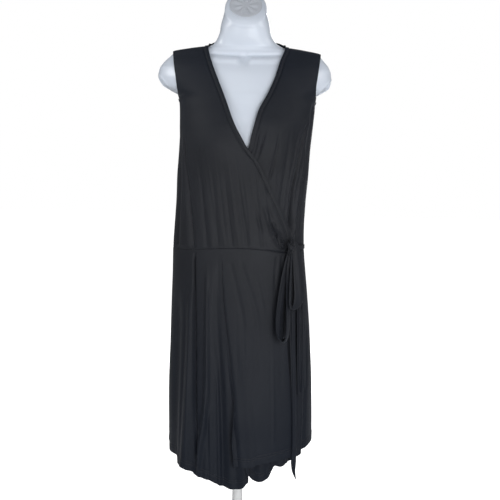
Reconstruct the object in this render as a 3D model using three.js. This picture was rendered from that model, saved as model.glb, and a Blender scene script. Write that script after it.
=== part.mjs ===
// A sleeveless wrap dress of thin jersey, worn by a plain limbless dress form on a pole stand.
// Millimetres, +Z up. The front faces -Y, the wearer's left is +X, the origin is under the middle of the base.
import * as THREE from "three";

// Driving sizes
const clothWall = 1.6;
const seamGap = 0.3;
const bandGap = 0.3; // from a panel to the band stitched over its edge
const bandWall = 1.1;
const bandWidth = 8;
const waistHeight = 710;
const armholeBottom = 1062;
const neckPoint = 92; // half the neck opening at the shoulder seam
const shoulderTip = 177; // half the width across both shoulder seams
const pleatTurn = 11; // length of cloth in each turn of the fold at the front of the skirt

const clamp = (v, low, high) => Math.min(high, Math.max(low, v));
const mix = (a, b, t) => a + (b - a) * t;
const ease = (t) => clamp(t, 0, 1) ** 2 * (3 - 2 * clamp(t, 0, 1));
const radians = (degrees) => (degrees * Math.PI) / 180;
const evenly = (count) => Array.from({ length: count }, (_, i) => i / (count - 1));

// A smooth curve through a column of a table, which never overshoots between two rows
function smoothColumn(keys, values) {
  const last = keys.length - 1;
  const steps = keys.slice(1).map((key, i) => (values[i + 1] - values[i]) / (key - keys[i]));
  const slopes = values.map((_, i) => {
    if (i === 0 || i === last) return steps[Math.max(i - 1, 0)];
    const product = steps[i - 1] * steps[i];
    return product <= 0 ? 0 : (2 * product) / (steps[i - 1] + steps[i]);
  });
  return (key) => {
    const at = clamp(key, keys[0], keys[last]);
    let i = 0;
    while (i < last - 1 && at > keys[i + 1]) i++;
    const width = keys[i + 1] - keys[i];
    const t = (at - keys[i]) / width;
    const [t2, t3] = [t * t, t * t * t];
    return (
      (2 * t3 - 3 * t2 + 1) * values[i] +
      (t3 - 2 * t2 + t) * width * slopes[i] +
      (3 * t2 - 2 * t3) * values[i + 1] +
      (t3 - t2) * width * slopes[i + 1]
    );
  };
}

// A table is keyed by its first column and gives the others by name at any key between its rows
function table(names, rows) {
  const keys = rows.map((row) => row[0]);
  const columns = names.slice(1).map((name, i) => [name, smoothColumn(keys, rows.map((row) => row[i + 1]))]);
  return (key) => Object.fromEntries(columns.map(([name, at]) => [name, at(key)]));
}
const curve = (rows) => smoothColumn(rows.map((row) => row[0]), rows.map((row) => row[1]));
const list = (names, rows) => rows.map((row) => Object.fromEntries(names.map((name, i) => [name, row[i]])));

// Plan sections of the worn dress from the hem up: half-widths to the wearer's right and left, depths in front of
// and behind the plane y = mid, and squareness, which is 2 for an ellipse. From the armholes up the sections go on
// over the shoulder caps, and the armhole edge cuts the cloth.
const sectionColumns = ["height", "right", "left", "front", "back", "mid", "square"];
const dressSection = table(sectionColumns, [
  [140, 171, 179, 150, 142, 0, 2.4],
  [225, 173, 181, 146, 138, 0, 2.4],
  [375, 174, 177, 138, 131, 0, 2.4],
  [475, 172, 171, 132, 126, 0, 2.4],
  [600, 170, 160, 126, 119, 0, 2.4],
  [655, 169, 154, 121, 112, 0, 2.4],
  [710, 169, 149, 116, 103, 0, 2.4],
  [755, 167, 148, 116, 101, 0, 2.4],
  [818, 163.5, 150, 118, 101, 0, 2.4],
  [880, 162, 154.5, 122, 104, 0, 2.4],
  [945, 158.5, 158, 127, 108, 0, 2.4],
  [990, 157, 162, 124, 110, 0, 2.4],
  [1035, 158, 166, 115, 111, 2, 2.4],
  [1062, 161, 168, 109, 109, 4, 2.25],
  [1072, 175, 179, 105, 105, 4, 2],
  [1085, 193, 195, 100, 101, 5, 1.85],
  [1100, 206, 206, 95, 96, 6, 1.8],
  [1118, 212, 212, 88, 88, 7, 1.8],
  [1135, 212, 212, 79, 80, 8, 1.85],
  [1150, 206, 206, 69, 72, 9, 1.9],
  [1163, 193, 193, 58, 67, 10, 2],
  [1174, 177, 177, 49, 63, 10, 2.2],
  [1181, 140, 140, 46, 61, 10, 2.4],
  [1189, 92, 92, 45, 60, 10, 2.4],
  [1203, 88, 88, 45, 61, 10, 2.4],
  [1220, 84, 84, 45, 62, 10, 2.4],
]);

// Plan sections of the form, in the same columns, up to the root of its neck
const formSection = table(sectionColumns, [
  [455, 158, 156, 108, 110, 0, 2.3],
  [500, 162, 158, 113, 118, 0, 2.3],
  [545, 161, 151, 114, 116, 0, 2.3],
  [600, 155, 144, 109, 108, 0, 2.3],
  [655, 141, 134, 100, 94, 0, 2.3],
  [712, 131, 127, 94, 84, 0, 2.3],
  [780, 135, 132, 94, 86, 0, 2.3],
  [850, 142, 141, 100, 92, 0, 2.3],
  [945, 149, 149, 112, 98, 0, 2.3],
  [1010, 151, 153, 108, 101, 1, 2.3],
  [1050, 153, 155, 101, 101, 4, 2.25],
  [1066, 157, 158, 97, 98, 4, 2.1],
  [1078, 176, 177, 93, 95, 5, 1.95],
  [1094, 202, 200, 88, 90, 6, 1.85],
  [1115, 212, 204, 80, 82, 7, 1.85],
  [1132, 209, 202, 71, 74, 8, 1.9],
  [1146, 200, 195, 60, 66, 9, 1.95],
  [1159, 187, 184, 51, 60, 10, 2],
  [1170.6, 172, 172, 43, 52, 10, 2.2],
  [1177.6, 136, 136, 40, 46, 10, 2.3],
  [1185.2, 94, 94, 40, 42, 9.5, 2.3],
  [1193, 78, 78, 42, 47, 8, 2.2],
  [1206, 67, 66, 46, 51, 7, 2.1],
  [1222, 60, 60, 48, 50, 5, 2],
]);

// The shoulder seams and the back neck edge, by distance from the middle
const shoulderLine = curve([[neckPoint, 1189], [140, 1181], [shoulderTip, 1174], [200, 1160]]);
const backNeckLine = curve([[0, 1209], [45, 1208], [70, 1205], [82, 1200], [neckPoint, 1189]]);
const armholes = {
  right: curve([[1062, 161], [1072, 161], [1087, 163], [1113, 167], [1135, 171], [1174, shoulderTip]]),
  left: curve([[1062, 168], [1068, 167], [1077, 165], [1090, 165], [1113, 168], [1135, 171], [1174, shoulderTip]]),
};

// The free edges of the two fronts, height to x: the right front lies over the left one
const outerEdge = curve([
  [700, 119], [720, 116], [742, 113], [786, 96], [850, 64], [911, 32], [942, 8.5], [962, -3.5], [1001, -24.5],
  [1053, -44.5], [1105, -65.6], [1144, -81], [1180, -91], [1189, -neckPoint],
]);
const underEdge = curve([
  [700, -112], [742, -96], [786, -78], [850, -46], [911, -13], [944, 9], [974, 15], [1002, 22], [1028, 29],
  [1072, 51], [1111, 67], [1148, 78], [1180, 90], [1189, neckPoint],
]);
const waistSeam = curve([
  [-170, 705], [-120, 706.5], [-80, 710], [-40, 713], [0, 714], [52, 711], [100, 705.5], [125, 705], [150, 708],
]);

// Angles run from the wearer's left side (0) over the front (90), the right side (180) and the back (270)
function sectionPoint(section, angle, out = 0) {
  const [cos, sin] = [Math.cos(radians(angle)), Math.sin(radians(angle))];
  const half = cos >= 0 ? section.left : section.right;
  const deep = sin >= 0 ? section.front : section.back;
  const n = section.square;
  const r = 1 / ((Math.abs(cos) / half) ** n + (Math.abs(sin) / deep) ** n) ** (1 / n);
  const normalX = (Math.sign(cos) * (Math.abs(r * cos) / half) ** (n - 1)) / half;
  const normalY = (-Math.sign(sin) * (Math.abs(r * sin) / deep) ** (n - 1)) / deep;
  const length = Math.hypot(normalX, normalY);
  const [nx, ny] = [normalX / length, normalY / length];
  return { x: r * cos + out * nx, y: section.mid - r * sin + out * ny, nx, ny };
}

function angleOfX(section, x, front = true) {
  const half = x >= 0 ? section.left : section.right;
  const deep = front ? section.front : section.back;
  const share = (1 - clamp(Math.abs(x) / half, 0, 1) ** section.square) ** (1 / section.square);
  const angle = (Math.atan2(deep * share, x) * 180) / Math.PI;
  return front ? angle : 360 - angle;
}

// y of the smooth dress at x, before any fold
function dressY(x, height) {
  const section = dressSection(height);
  return sectionPoint(section, angleOfX(section, x)).y;
}

// The darts leave two soft swellings over the bust
const bust = { apart: 74, height: 952, wide: 48, tall: 56, out: 9 };
function bustOut(x, height) {
  const tall = Math.exp(-(((height - bust.height) / bust.tall) ** 2));
  const side = (centre) => Math.exp(-(((x - centre) / bust.wide) ** 2));
  return bust.out * tall * (side(-bust.apart) + side(bust.apart));
}

// Folds: none and full are the heights where a fold has died out and where it is deepest, at... its x there,
// width its width, and out how far it stands out, or in if less than nothing
const foldColumns = ["none", "full", "atNone", "atFull", "width", "out"];
function foldOut(folds, x, height) {
  return folds.reduce((sum, fold) => {
    const share = clamp((height - fold.none) / (fold.full - fold.none), 0, 1);
    const away = Math.abs(x - mix(fold.atNone, fold.atFull, share)) / (fold.width / 2);
    return away >= 1 ? sum : sum + fold.out * 2 * ease(share / 2) * (0.5 + 0.5 * Math.cos(Math.PI * away));
  }, 0);
}

const outerBodiceFolds = list(foldColumns, [
  [990, 800, -150, -137, 30, -8],
  [940, 745, -132, -108, 30, -6],
  [945, 745, -98, -72, 32, -5],
  [950, 745, -60, -38, 32, -5],
  [945, 745, -28, -4, 30, -5],
  [905, 742, 2, 36, 30, -5],
  [880, 742, 32, 76, 30, -5.5],
]);
const underBodiceFolds = list(foldColumns, [
  [990, 850, 84, 62, 30, -7],
  [960, 820, 112, 92, 26, -4],
  [1045, 770, 153, 124, 26, -8],
]);
const backBodiceFolds = list(foldColumns, [
  [930, 745, -122, -112, 38, -5],
  [900, 745, -72, -62, 40, -5],
  [880, 745, -20, -14, 40, -4],
  [890, 745, 34, 32, 40, -5],
  [930, 745, 84, 80, 40, -5],
]);
const outerSkirtFolds = list(foldColumns, [
  [600, 200, -148, -143, 34, -9],
  [560, 200, -126, -124, 30, 3],
  [690, 190, -114, -106, 24, -7],
  [640, 190, -82, -86, 40, 6],
  [600, 160, -53, -38, 42, -8],
  [560, 160, -10, 4, 34, 3],
  [650, 230, 30, 44, 50, -2],
]);
const underSkirtFolds = list(foldColumns, [
  [480, 170, 52, 56, 44, 6],
  [520, 190, 88, 92, 30, -7],
  [520, 190, 112, 116, 34, 5],
  [560, 190, 132, 140, 30, -6],
  [500, 200, 150, 160, 20, 3],
]);
const backSkirtFolds = list(foldColumns, [
  [620, 190, -140, -146, 40, 6],
  [640, 190, -112, -116, 38, -6],
  [650, 180, -76, -80, 44, 8],
  [640, 180, -44, -44, 40, -7],
  [600, 180, -8, -8, 44, 7],
  [640, 180, 30, 30, 42, -7],
  [650, 180, 68, 70, 44, 8],
  [640, 190, 102, 108, 40, -7],
  [620, 190, 132, 142, 38, 6],
]);

// Solids
function solid(name, positions, triangles, material) {
  const geometry = new THREE.BufferGeometry();
  geometry.setAttribute("position", new THREE.Float32BufferAttribute(positions, 3));
  geometry.setIndex(triangles);
  geometry.computeVertexNormals();
  const mesh = new THREE.Mesh(geometry, material);
  mesh.name = name;
  return mesh;
}

// Normals of a grid, each from the points beside it. seamAxis names the axis that a normal leaves out at a border
// point, so that walls which meet at a seam end in one plane.
function gridNormals(grid, seamAxis = () => null) {
  const [rows, columns] = [grid.length, grid[0].length];
  return grid.map((row, i) =>
    row.map((point, j) => {
      const along = row[Math.min(j + 1, columns - 1)].clone().sub(row[Math.max(j - 1, 0)]);
      const up = grid[Math.min(i + 1, rows - 1)][j].clone().sub(grid[Math.max(i - 1, 0)][j]);
      const normal = along.cross(up);
      const axis = seamAxis(i, j, point);
      if (axis) normal[axis] = 0;
      return normal.normalize();
    }),
  );
}

// A wall of cloth between two offsets of one grid. Rows run upwards, columns from left to right as seen from outside.
function clothSolid(name, grid, normals, material, outerLift = 0, innerLift = -clothWall) {
  const [rows, columns] = [grid.length, grid[0].length];
  const positions = [];
  for (const lift of [outerLift, innerLift]) {
    grid.forEach((row, i) =>
      row.forEach((point, j) => positions.push(...point.clone().addScaledVector(normals[i][j], lift).toArray())),
    );
  }
  const outer = (i, j) => i * columns + j;
  const inner = (i, j) => rows * columns + i * columns + j;
  const triangles = [];
  const quad = (a, b, c, d) => triangles.push(a, b, c, a, c, d);
  for (let i = 0; i < rows - 1; i++) {
    for (let j = 0; j < columns - 1; j++) {
      quad(outer(i, j), outer(i, j + 1), outer(i + 1, j + 1), outer(i + 1, j));
      quad(inner(i, j), inner(i + 1, j), inner(i + 1, j + 1), inner(i, j + 1));
    }
    quad(outer(i, 0), outer(i + 1, 0), inner(i + 1, 0), inner(i, 0));
    quad(outer(i, columns - 1), inner(i, columns - 1), inner(i + 1, columns - 1), outer(i + 1, columns - 1));
  }
  for (let j = 0; j < columns - 1; j++) {
    quad(outer(0, j), inner(0, j), inner(0, j + 1), outer(0, j + 1));
    quad(outer(rows - 1, j), outer(rows - 1, j + 1), inner(rows - 1, j + 1), inner(rows - 1, j));
  }
  return solid(name, positions, triangles, material);
}

const slice = (grid, [fromRow, toRow], [fromColumn, toColumn]) =>
  grid.slice(fromRow, toRow).map((row) => row.slice(fromColumn, toColumn));

// A band over the edge of a panel, from some of the panel's own rows and columns
function bandSolid(name, grid, normals, rows, columns, material, lift = bandGap) {
  const lifts = [lift + bandWall, lift];
  return clothSolid(name, slice(grid, rows, columns), slice(normals, rows, columns), material, ...lifts);
}

// Rings of points stacked upwards, each running from the left over the front to the right and the back
function ringSolid(name, rings, material) {
  const sides = rings[0].length;
  const positions = rings.flat().flatMap((p) => p.toArray());
  const triangles = [];
  for (let i = 0; i < rings.length - 1; i++) {
    for (let j = 0; j < sides; j++) {
      const k = (j + 1) % sides;
      const [a, b, c, d] = [i * sides + j, i * sides + k, (i + 1) * sides + k, (i + 1) * sides + j];
      triangles.push(a, d, c, a, c, b);
    }
  }
  [rings[0], rings.at(-1)].forEach((ring, end) => {
    const centre = positions.length / 3;
    const start = end ? (rings.length - 1) * sides : 0;
    const middle = ring.reduce((sum, p) => sum.add(p), new THREE.Vector3()).divideScalar(sides);
    positions.push(...middle.toArray());
    for (let j = 0; j < sides; j++) {
      const k = (j + 1) % sides;
      triangles.push(...(end ? [centre, start + k, start + j] : [centre, start + j, start + k]));
    }
  });
  return solid(name, positions, triangles, material);
}

// Materials
const jersey = new THREE.MeshStandardMaterial({ color: 0x1b1c21, roughness: 0.75, metalness: 0 });
const formSkin = new THREE.MeshStandardMaterial({ color: 0xe3e8ef, roughness: 0.35, metalness: 0 });
const capGrey = new THREE.MeshStandardMaterial({ color: 0xb4bac3, roughness: 0.6, metalness: 0 });
const standWhite = new THREE.MeshStandardMaterial({ color: 0xe6e8ea, roughness: 0.4, metalness: 0.1 });

// Bodice: low runs from the waist seam to the bottom of the armholes, high from there to the shoulder
const bodiceSpots = [
  ...[0, 0.05, 0.17, 0.33, 0.5, 0.67, 0.83, 0.96, 1].map((low) => ({ low, high: 0 })),
  ...[0.03, 0.1, 0.22, 0.4, 0.6, 0.77, 0.88, 0.945, 0.975, 0.99, 1].map((high) => ({ low: 1, high })),
];
const wrapInset = 6.2; // how far the under front lies inside the outer one
const seamFade = 24; // the folds of the bodice start this far above the waist seam

function spotHeight(spot, x, front, top) {
  if (spot.high) return mix(armholeBottom, top(Math.abs(x)), spot.high);
  return mix(mix(waistSeam(front ? x : -170) + seamGap / 2, waistHeight, ease(spot.low * 6)), armholeBottom, spot.low);
}

// A point of the bodice at an angle, or at an x where the sections run on over the shoulder caps
function bodicePoint({ angle, x, height, front, out = 0, onShoulder = false }) {
  const section = dressSection(height);
  const gap = front ? -seamGap / 2 : seamGap / 2;
  if (onShoulder) return new THREE.Vector3(x, section.mid + gap, height);
  const p = sectionPoint(section, angle ?? angleOfX(section, x, front), out);
  return new THREE.Vector3(p.x, p.y + gap, height);
}

// The out of every fold dies away at the seams and at the armhole
function bodiceOut(folds, x, height, spot) {
  const free = ease((height - waistSeam(x)) / seamFade) * (spot.high ? 0 : 1);
  return foldOut(folds, x, height) * free;
}

// One front, from its side seam (angle 0 or 180) to its free edge. The last three columns lie under the band.
function frontGrid({ side, edge, columns, foldsAt, insetAt }) {
  const towards = side === 180 ? 1 : -1;
  const widths = [-bandWidth * 1.12, -bandWidth * 0.56, 0].map((w) => w * towards);
  const lowShares = evenly(columns - 2);
  const base = dressSection(armholeBottom);
  const baseInner = angleOfX(base, edge(armholeBottom) + widths[0]);
  const baseX = (share) => sectionPoint(base, mix(side, baseInner, share)).x;
  const fractions = lowShares.map((share) => (baseX(share) - baseX(0)) / (baseX(1) - baseX(0)));
  return bodiceSpots.map((spot) =>
    Array.from({ length: columns }, (_, j) => {
      const banded = j >= columns - 3;
      let [x, angle, height] = [edge(waistHeight), undefined, 0];
      for (let pass = 0; pass < 5; pass++) {
        height = spotHeight(spot, x, true, shoulderLine);
        const section = dressSection(height);
        if (banded) {
          x = edge(height) + widths[j - columns + 3];
          angle = angleOfX(section, x);
        } else if (!spot.high) {
          angle = mix(side, angleOfX(section, edge(height) + widths[0]), lowShares[j]);
          x = sectionPoint(section, angle).x;
        } else {
          const share = mix(fractions[j], lowShares[j], ease(spot.high * 1.6));
          const sideX = side === 180 ? -armholes.right(height) : armholes.left(height);
          x = mix(sideX, edge(height) + widths[0], share);
          angle = angleOfX(section, x);
        }
      }
      const out = bustOut(x, height) + foldsAt(x, height, spot) - insetAt(angle, height);
      return bodicePoint({ angle, x, height, front: true, out, onShoulder: spot.high === 1 });
    }),
  );
}

// Seams of a front: waist and shoulder at its bottom and top, the side seam below the armhole
const frontSeams = (sideColumn) => (i, j, point) => {
  if (i === 0) return "z";
  if (i === bodiceSpots.length - 1) return "y";
  return j === sideColumn && point.z <= armholeBottom + 1 ? "y" : null;
};

function bodiceFronts() {
  const visible = (x, height) => ease((x - outerEdge(height)) / 16);
  const outer = frontGrid({
    side: 180,
    edge: outerEdge,
    columns: 22,
    foldsAt: (x, height, spot) => bodiceOut(outerBodiceFolds, x, height, spot),
    insetAt: () => 0,
  });
  const under = frontGrid({
    side: 0,
    edge: underEdge,
    columns: 21,
    foldsAt: (x, height, spot) =>
      bodiceOut(outerBodiceFolds, x, height, spot) +
      bodiceOut(underBodiceFolds, x, height, spot) * visible(x, height),
    insetAt: (angle, height) => wrapInset * ease(angle / 30) * ease((1015 - height) / 60),
  }).map((row) => row.reverse());
  const outerNormals = gridNormals(outer, frontSeams(0));
  const underNormals = gridNormals(under, frontSeams(20));
  const rows = [1, bodiceSpots.length];
  return [
    clothSolid("bodice_front_right", outer, outerNormals, jersey),
    clothSolid("bodice_front_left", under, underNormals, jersey),
    bandSolid("neck_band_right", outer, outerNormals, rows, [19, 22], jersey),
    bandSolid("neck_band_left", under, underNormals, rows, [0, 3], jersey),
  ];
}

// The back in one piece. Its columns are shares of its half-width, low down and at the shoulder.
const neckShare = neckPoint / shoulderTip;
const backShares = list(["low", "high"], [
  [1, 1], [0.996, 0.945], [0.975, 0.87], [0.925, 0.78], [0.85, 0.69], [0.755, 0.6],
  [0.66, neckShare], [0.61, 0.9905 * neckShare], [0.55, 0.955 * neckShare], [0.47, 0.87 * neckShare],
  [0.37, 0.7 * neckShare], [0.24, 0.46 * neckShare], [0.08, 0.16 * neckShare],
]);
const neckRows = 3; // the top rows of the back that the band lies on

function bodiceBack() {
  const signed = (sign) => backShares.map(({ low, high }) => ({ low: low * sign, high: high * sign }));
  const shares = [...signed(1), ...signed(-1).reverse()];
  const top = (x) => (x >= neckPoint - 0.01 ? shoulderLine(x) : backNeckLine(x));
  const lastRow = bodiceSpots.length - 1;
  const pointAt = (spot, { low, high }) => {
    let [x, height] = [0, waistHeight];
    for (let pass = 0; pass < 5; pass++) {
      height = spotHeight(spot, x, false, top);
      const section = dressSection(height);
      const share = mix(low, high, ease(spot.high * 1.4));
      const sideX = low > 0 ? section.left : section.right;
      const cut = low > 0 ? armholes.left(height) : armholes.right(height);
      x = share * (spot.high ? cut : sideX);
    }
    const out = bodiceOut(backBodiceFolds, x, height, spot);
    const onShoulder = spot.high === 1 && Math.abs(high) >= neckShare;
    return bodicePoint({ x, height, front: false, out, onShoulder });
  };
  // The top rows step down the cloth from the shoulder and the neck edge by equal widths, as the band needs. They
  // keep their x under the shoulder, their angle under the neck, and split the corner between the two.
  const belowTop = (share, steps) => {
    const edge = pointAt(bodiceSpots[lastRow], share);
    const sideways = (height) => 360 - angleOfX(dressSection(height), Math.abs(edge.x), false);
    let below = edge;
    for (let height = edge.z; below.distanceTo(edge) < (bandWidth * steps) / (neckRows - 1); height -= 0.02) {
      const beyond = Math.abs(share.high) - neckShare;
      const angle = beyond > 0 ? sideways(height) : beyond < 0 ? sideways(edge.z) : sideways(height) / 2;
      below = bodicePoint({ angle: edge.x > 0 ? 360 - angle : 180 + angle, height, front: false });
    }
    return below;
  };
  const grid = bodiceSpots.map((spot, i) =>
    shares.map((share) => {
      const steps = lastRow - i;
      return steps > 0 && steps < neckRows ? belowTop(share, steps) : pointAt(spot, share);
    }),
  );
  const lastColumn = shares.length - 1;
  const normals = gridNormals(grid, (i, j) => {
    if (i === 0) return "z";
    if (i === lastRow) return Math.abs(shares[j].high) >= neckShare ? "y" : null;
    return (j === 0 || j === lastColumn) && bodiceSpots[i].high === 0 ? "y" : null;
  });
  const bandStart = shares.findIndex(({ high }) => high < 0.99 * neckShare); // just past the shoulder corner
  const neckColumns = [bandStart, shares.length - bandStart];
  return [
    clothSolid("bodice_back", grid, normals, jersey),
    bandSolid("neck_band_back", grid, normals, [lastRow - neckRows + 1, lastRow + 1], neckColumns, jersey),
  ];
}

// Armhole bands: closed loops over the edges of front and back. Down the loop, aim turns the band's width from
// level, towards the middle of the panel, to straight down at the bottom.
const armholeAim = curve([[1062, 90], [1066, 66], [1074, 42], [1087, 18], [1104, 0], [1174, 0]]);
const armholeLift = 1.15; // more than the gap elsewhere, as the cloth bends sharply under the arm

function armholeBand(name, toLeft) {
  const edgeAt = toLeft ? armholes.left : armholes.right;
  const sign = toLeft ? 1 : -1;
  const place = (x, height, front) => {
    const section = dressSection(height);
    const half = toLeft ? section.left : section.right;
    const angle = angleOfX(section, sign * Math.min(x, half), front);
    return bodicePoint({ angle, height, front });
  };
  const stop = (high, front) => {
    const height = mix(armholeBottom, 1174, high);
    const aim = radians(armholeAim(height));
    const [level, down] = [bandWidth * Math.cos(aim), bandWidth * Math.sin(aim)];
    return [1, 0.5, 0].map((share) => {
      const x = edgeAt(height) - level * share;
      const z = mix(armholeBottom, shoulderLine(x), high) - down * share;
      return high === 1 ? new THREE.Vector3(sign * x, dressSection(z).mid, z) : place(x, z, front);
    });
  };
  const bottom = [1, 0.5, 0].map((share) => place(Infinity, armholeBottom - bandWidth * share, true));
  const highs = bodiceSpots.filter(({ high }) => high > 0).map(({ high }) => high);
  const down = [...highs].reverse().map((high) => stop(high, true));
  const up = highs.slice(0, -1).map((high) => stop(high, false));
  const loop = [...down, bottom, ...up];
  if (!toLeft) loop.reverse();
  const columns = [loop.at(-1), ...loop, loop[0]];
  const wrapped = [0, 1, 2].map((row) => columns.map((column) => column[row]));
  const normals = gridNormals(wrapped);
  const count = loop.length;
  const positions = [];
  const ring = (row, lift) => {
    for (let j = 1; j <= count; j++) {
      positions.push(...wrapped[row][j].clone().addScaledVector(normals[row][j], lift).toArray());
    }
  };
  const [outerLift, innerLift] = [bandGap + armholeLift + bandWall, bandGap + armholeLift];
  [[0, outerLift], [1, outerLift], [2, outerLift], [2, innerLift], [1, innerLift], [0, innerLift]].forEach((r) =>
    ring(...r),
  );
  const triangles = [];
  for (let i = 0; i < 6; i++) {
    for (let j = 0; j < count; j++) {
      const [next, across] = [(j + 1) % count, (i + 1) % 6];
      const [a, b, c, d] = [i * count + j, i * count + next, across * count + next, across * count + j];
      triangles.push(a, b, c, a, c, d);
    }
  }
  return solid(name, positions, triangles, jersey);
}

// Skirt: each panel is a set of stations round the body; a station gives its angle at any height
const skirtRows = [0, 0.04, 0.11, 0.2, 0.3, 0.41, 0.52, 0.63, 0.74, 0.85, 0.93, 0.98, 1];
const outerSkirtEdge = curve([
  [225, 134], [300, 121], [400, 100], [480, 85], [552, 78], [598, 80], [644, 87], [674, 101], [700, 116], [705, 118],
]);
const pleat = {
  start: curve([[150, 23], [230, 21], [300, 12], [372, 1], [430, -8], [500, -38], [580, -52], [710, -52]]),
  turn: curve([[150, 178], [230, 177], [300, 174], [372, 162], [440, 128], [500, 84], [560, 36], [620, 6], [700, 0]]),
  flat: curve([[150, 33], [230, 31], [300, 26], [372, 18], [440, 9], [500, 5], [600, 4], [710, 4]]),
};
const outerHem = curve([
  [-175, 205], [-158, 206], [-148, 193], [-128, 194], [-108, 186], [-87, 176], [-66, 169], [-42, 158], [-13, 151],
  [2, 150], [22, 157],
]);
const overlapHem = curve([[-12, 209], [29, 207], [45, 213], [89, 219], [134, 225]]);
const underHem = curve([
  [-112, 200], [0, 186], [25, 179], [37, 168], [51, 164], [75, 170], [91, 188], [97, 198], [109, 196], [126, 202],
  [140, 200], [155, 211], [163, 219], [172, 227], [181, 231],
]);
const backHem = curve([[-174, 221], [-110, 212], [-40, 206], [40, 206], [110, 213], [181, 231]]);
const underInset = curve([[150, 22], [230, 20], [400, 13], [600, 6.5], [690, wrapInset], [710, wrapInset]]);
const underSkirtEdge = curve([[180, -92], [700, -112]]);

function skirtPoint(angle, height, front, folds, inset = 0) {
  const section = dressSection(height);
  const x = sectionPoint(section, angle).x;
  const fade = ease((waistSeam(x) - height) / seamFade);
  const p = sectionPoint(section, angle, foldOut(folds, x, height) * fade - inset);
  return new THREE.Vector3(p.x, p.y + (front ? -seamGap / 2 : seamGap / 2), height);
}

// The plan path of the turned fold, from its start on the skirt: along the cloth below, and out from it
function pleatPath(height, shares) {
  const turn = radians(pleat.turn(height));
  const flat = pleat.flat(height);
  const length = 2 * pleatTurn + flat;
  const heading = (s) => turn * clamp(Math.min(s, length - s) / pleatTurn, 0, 1);
  const steps = 60;
  const path = [{ along: 0, out: 0 }];
  for (let k = 0; k < steps; k++) {
    const angle = heading(((k + 0.5) / steps) * length);
    const { along, out } = path[k];
    path.push({ along: along + (Math.cos(angle) * length) / steps, out: out + (Math.sin(angle) * length) / steps });
  }
  return shares.map((share) => path[Math.round(share * steps)]);
}

// Every column of the panel runs from its height at the hem to its height at the waist seam
function skirtGrid(stations) {
  return skirtRows.map((share) =>
    stations.map(({ hem, waist, at }) => at(mix(hem, waist - seamGap / 2, share))),
  );
}

function outerSkirtStations() {
  const startAngle = (height) => angleOfX(dressSection(height), pleat.start(height));
  const hemHeight = 185;
  const before = evenly(30).map((share) => {
    const angleAt = (height) => mix(180, startAngle(height), share);
    const xAt = (height) => sectionPoint(dressSection(height), angleAt(height)).x;
    return {
      hem: outerHem(xAt(hemHeight)),
      waist: waistSeam(xAt(waistHeight)),
      at: (height) => skirtPoint(angleAt(height), height, true, outerSkirtFolds),
    };
  });
  const shares = [0.1, 0.2, 0.3, 0.4, 0.5, 0.6, 0.7, 0.8, 0.9, 1];
  const foldStart = before.at(-1);
  const within = shares.map((share, k) => ({
    hem: mix(foldStart.hem, overlapHem(-12), ease(share)),
    waist: foldStart.waist,
    at: (height) => {
      const angle = startAngle(height);
      const { nx, ny } = sectionPoint(dressSection(height), angle);
      const start = skirtPoint(angle, height, true, outerSkirtFolds);
      const { along, out } = pleatPath(height, shares)[k];
      return start.add(new THREE.Vector3(-ny * along + nx * out, nx * along + ny * out, 0));
    },
  }));
  const after = evenly(15).slice(1).map((share) => {
    const endOf = (height) => pleatPath(height, [1])[0];
    const angleAt = (height) => {
      const section = dressSection(height);
      const from = angleOfX(section, pleat.start(height) + endOf(height).along);
      return mix(from, angleOfX(section, outerSkirtEdge(height)), share);
    };
    const xAt = (height) => sectionPoint(dressSection(height), angleAt(height)).x;
    return {
      hem: overlapHem(xAt(220)),
      waist: waistSeam(xAt(waistHeight)),
      at: (height) => {
        const lift = endOf(height).out * (1 - 0.8 * ease(share * 1.1));
        return skirtPoint(angleAt(height), height, true, outerSkirtFolds, -lift);
      },
    };
  });
  return [...before, ...within, ...after];
}

function underSkirtStations() {
  return evenly(32).map((share) => {
    const edgeAngle = (height) => angleOfX(dressSection(height), underSkirtEdge(height));
    const angleAt = (height) => mix(edgeAngle(height), 0, share);
    const xAt = (height) => sectionPoint(dressSection(height), angleAt(height)).x;
    return {
      hem: underHem(xAt(200)),
      waist: waistSeam(xAt(waistHeight)),
      at: (height) => {
        const inset = underInset(height) * ease(angleAt(height) / 38);
        return skirtPoint(angleAt(height), height, true, underSkirtFolds, inset);
      },
    };
  });
}

function backSkirtStations() {
  return evenly(38).map((share) => {
    const angle = mix(360, 180, share);
    const xAt = (height) => sectionPoint(dressSection(height), angle).x;
    return {
      hem: backHem(xAt(215)),
      waist: waistSeam(-170),
      at: (height) => skirtPoint(angle, height, false, backSkirtFolds),
    };
  });
}

function skirtPanel(name, stations, sideColumns) {
  const grid = skirtGrid(stations);
  const top = grid.length - 1;
  const normals = gridNormals(grid, (i, j) => {
    if (i === top) return "z";
    return sideColumns.includes(j) ? "y" : null;
  });
  return clothSolid(name, grid, normals, jersey);
}

function skirt() {
  const [outer, under, back] = [outerSkirtStations(), underSkirtStations(), backSkirtStations()];
  return [
    skirtPanel("skirt_front_right", outer, [0]),
    skirtPanel("skirt_front_left", under, [under.length - 1]),
    skirtPanel("skirt_back", back, [0, back.length - 1]),
  ];
}

// Dress form: smooth rings, the top ones leaning back to the slanted cut of the neck
const formSides = 32;
const neckCut = { height: 1293, slope: 0.95, half: 57, front: 52, back: 46, mid: -3 };
const formHeights = [
  458, 466, 505, 550, 600, 650, 700, 750, 800, 850, 900, 945, 990, 1030, 1055, 1066, 1074, 1084,
  1098, 1114, 1129, 1141, 1151, 1159, 1165.5, 1170.6, 1174.4, 1177.6, 1181.4, 1185.2, 1193, 1207, 1222,
];
const formBust = 0.8; // share of the dress's swelling over the bust

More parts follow.
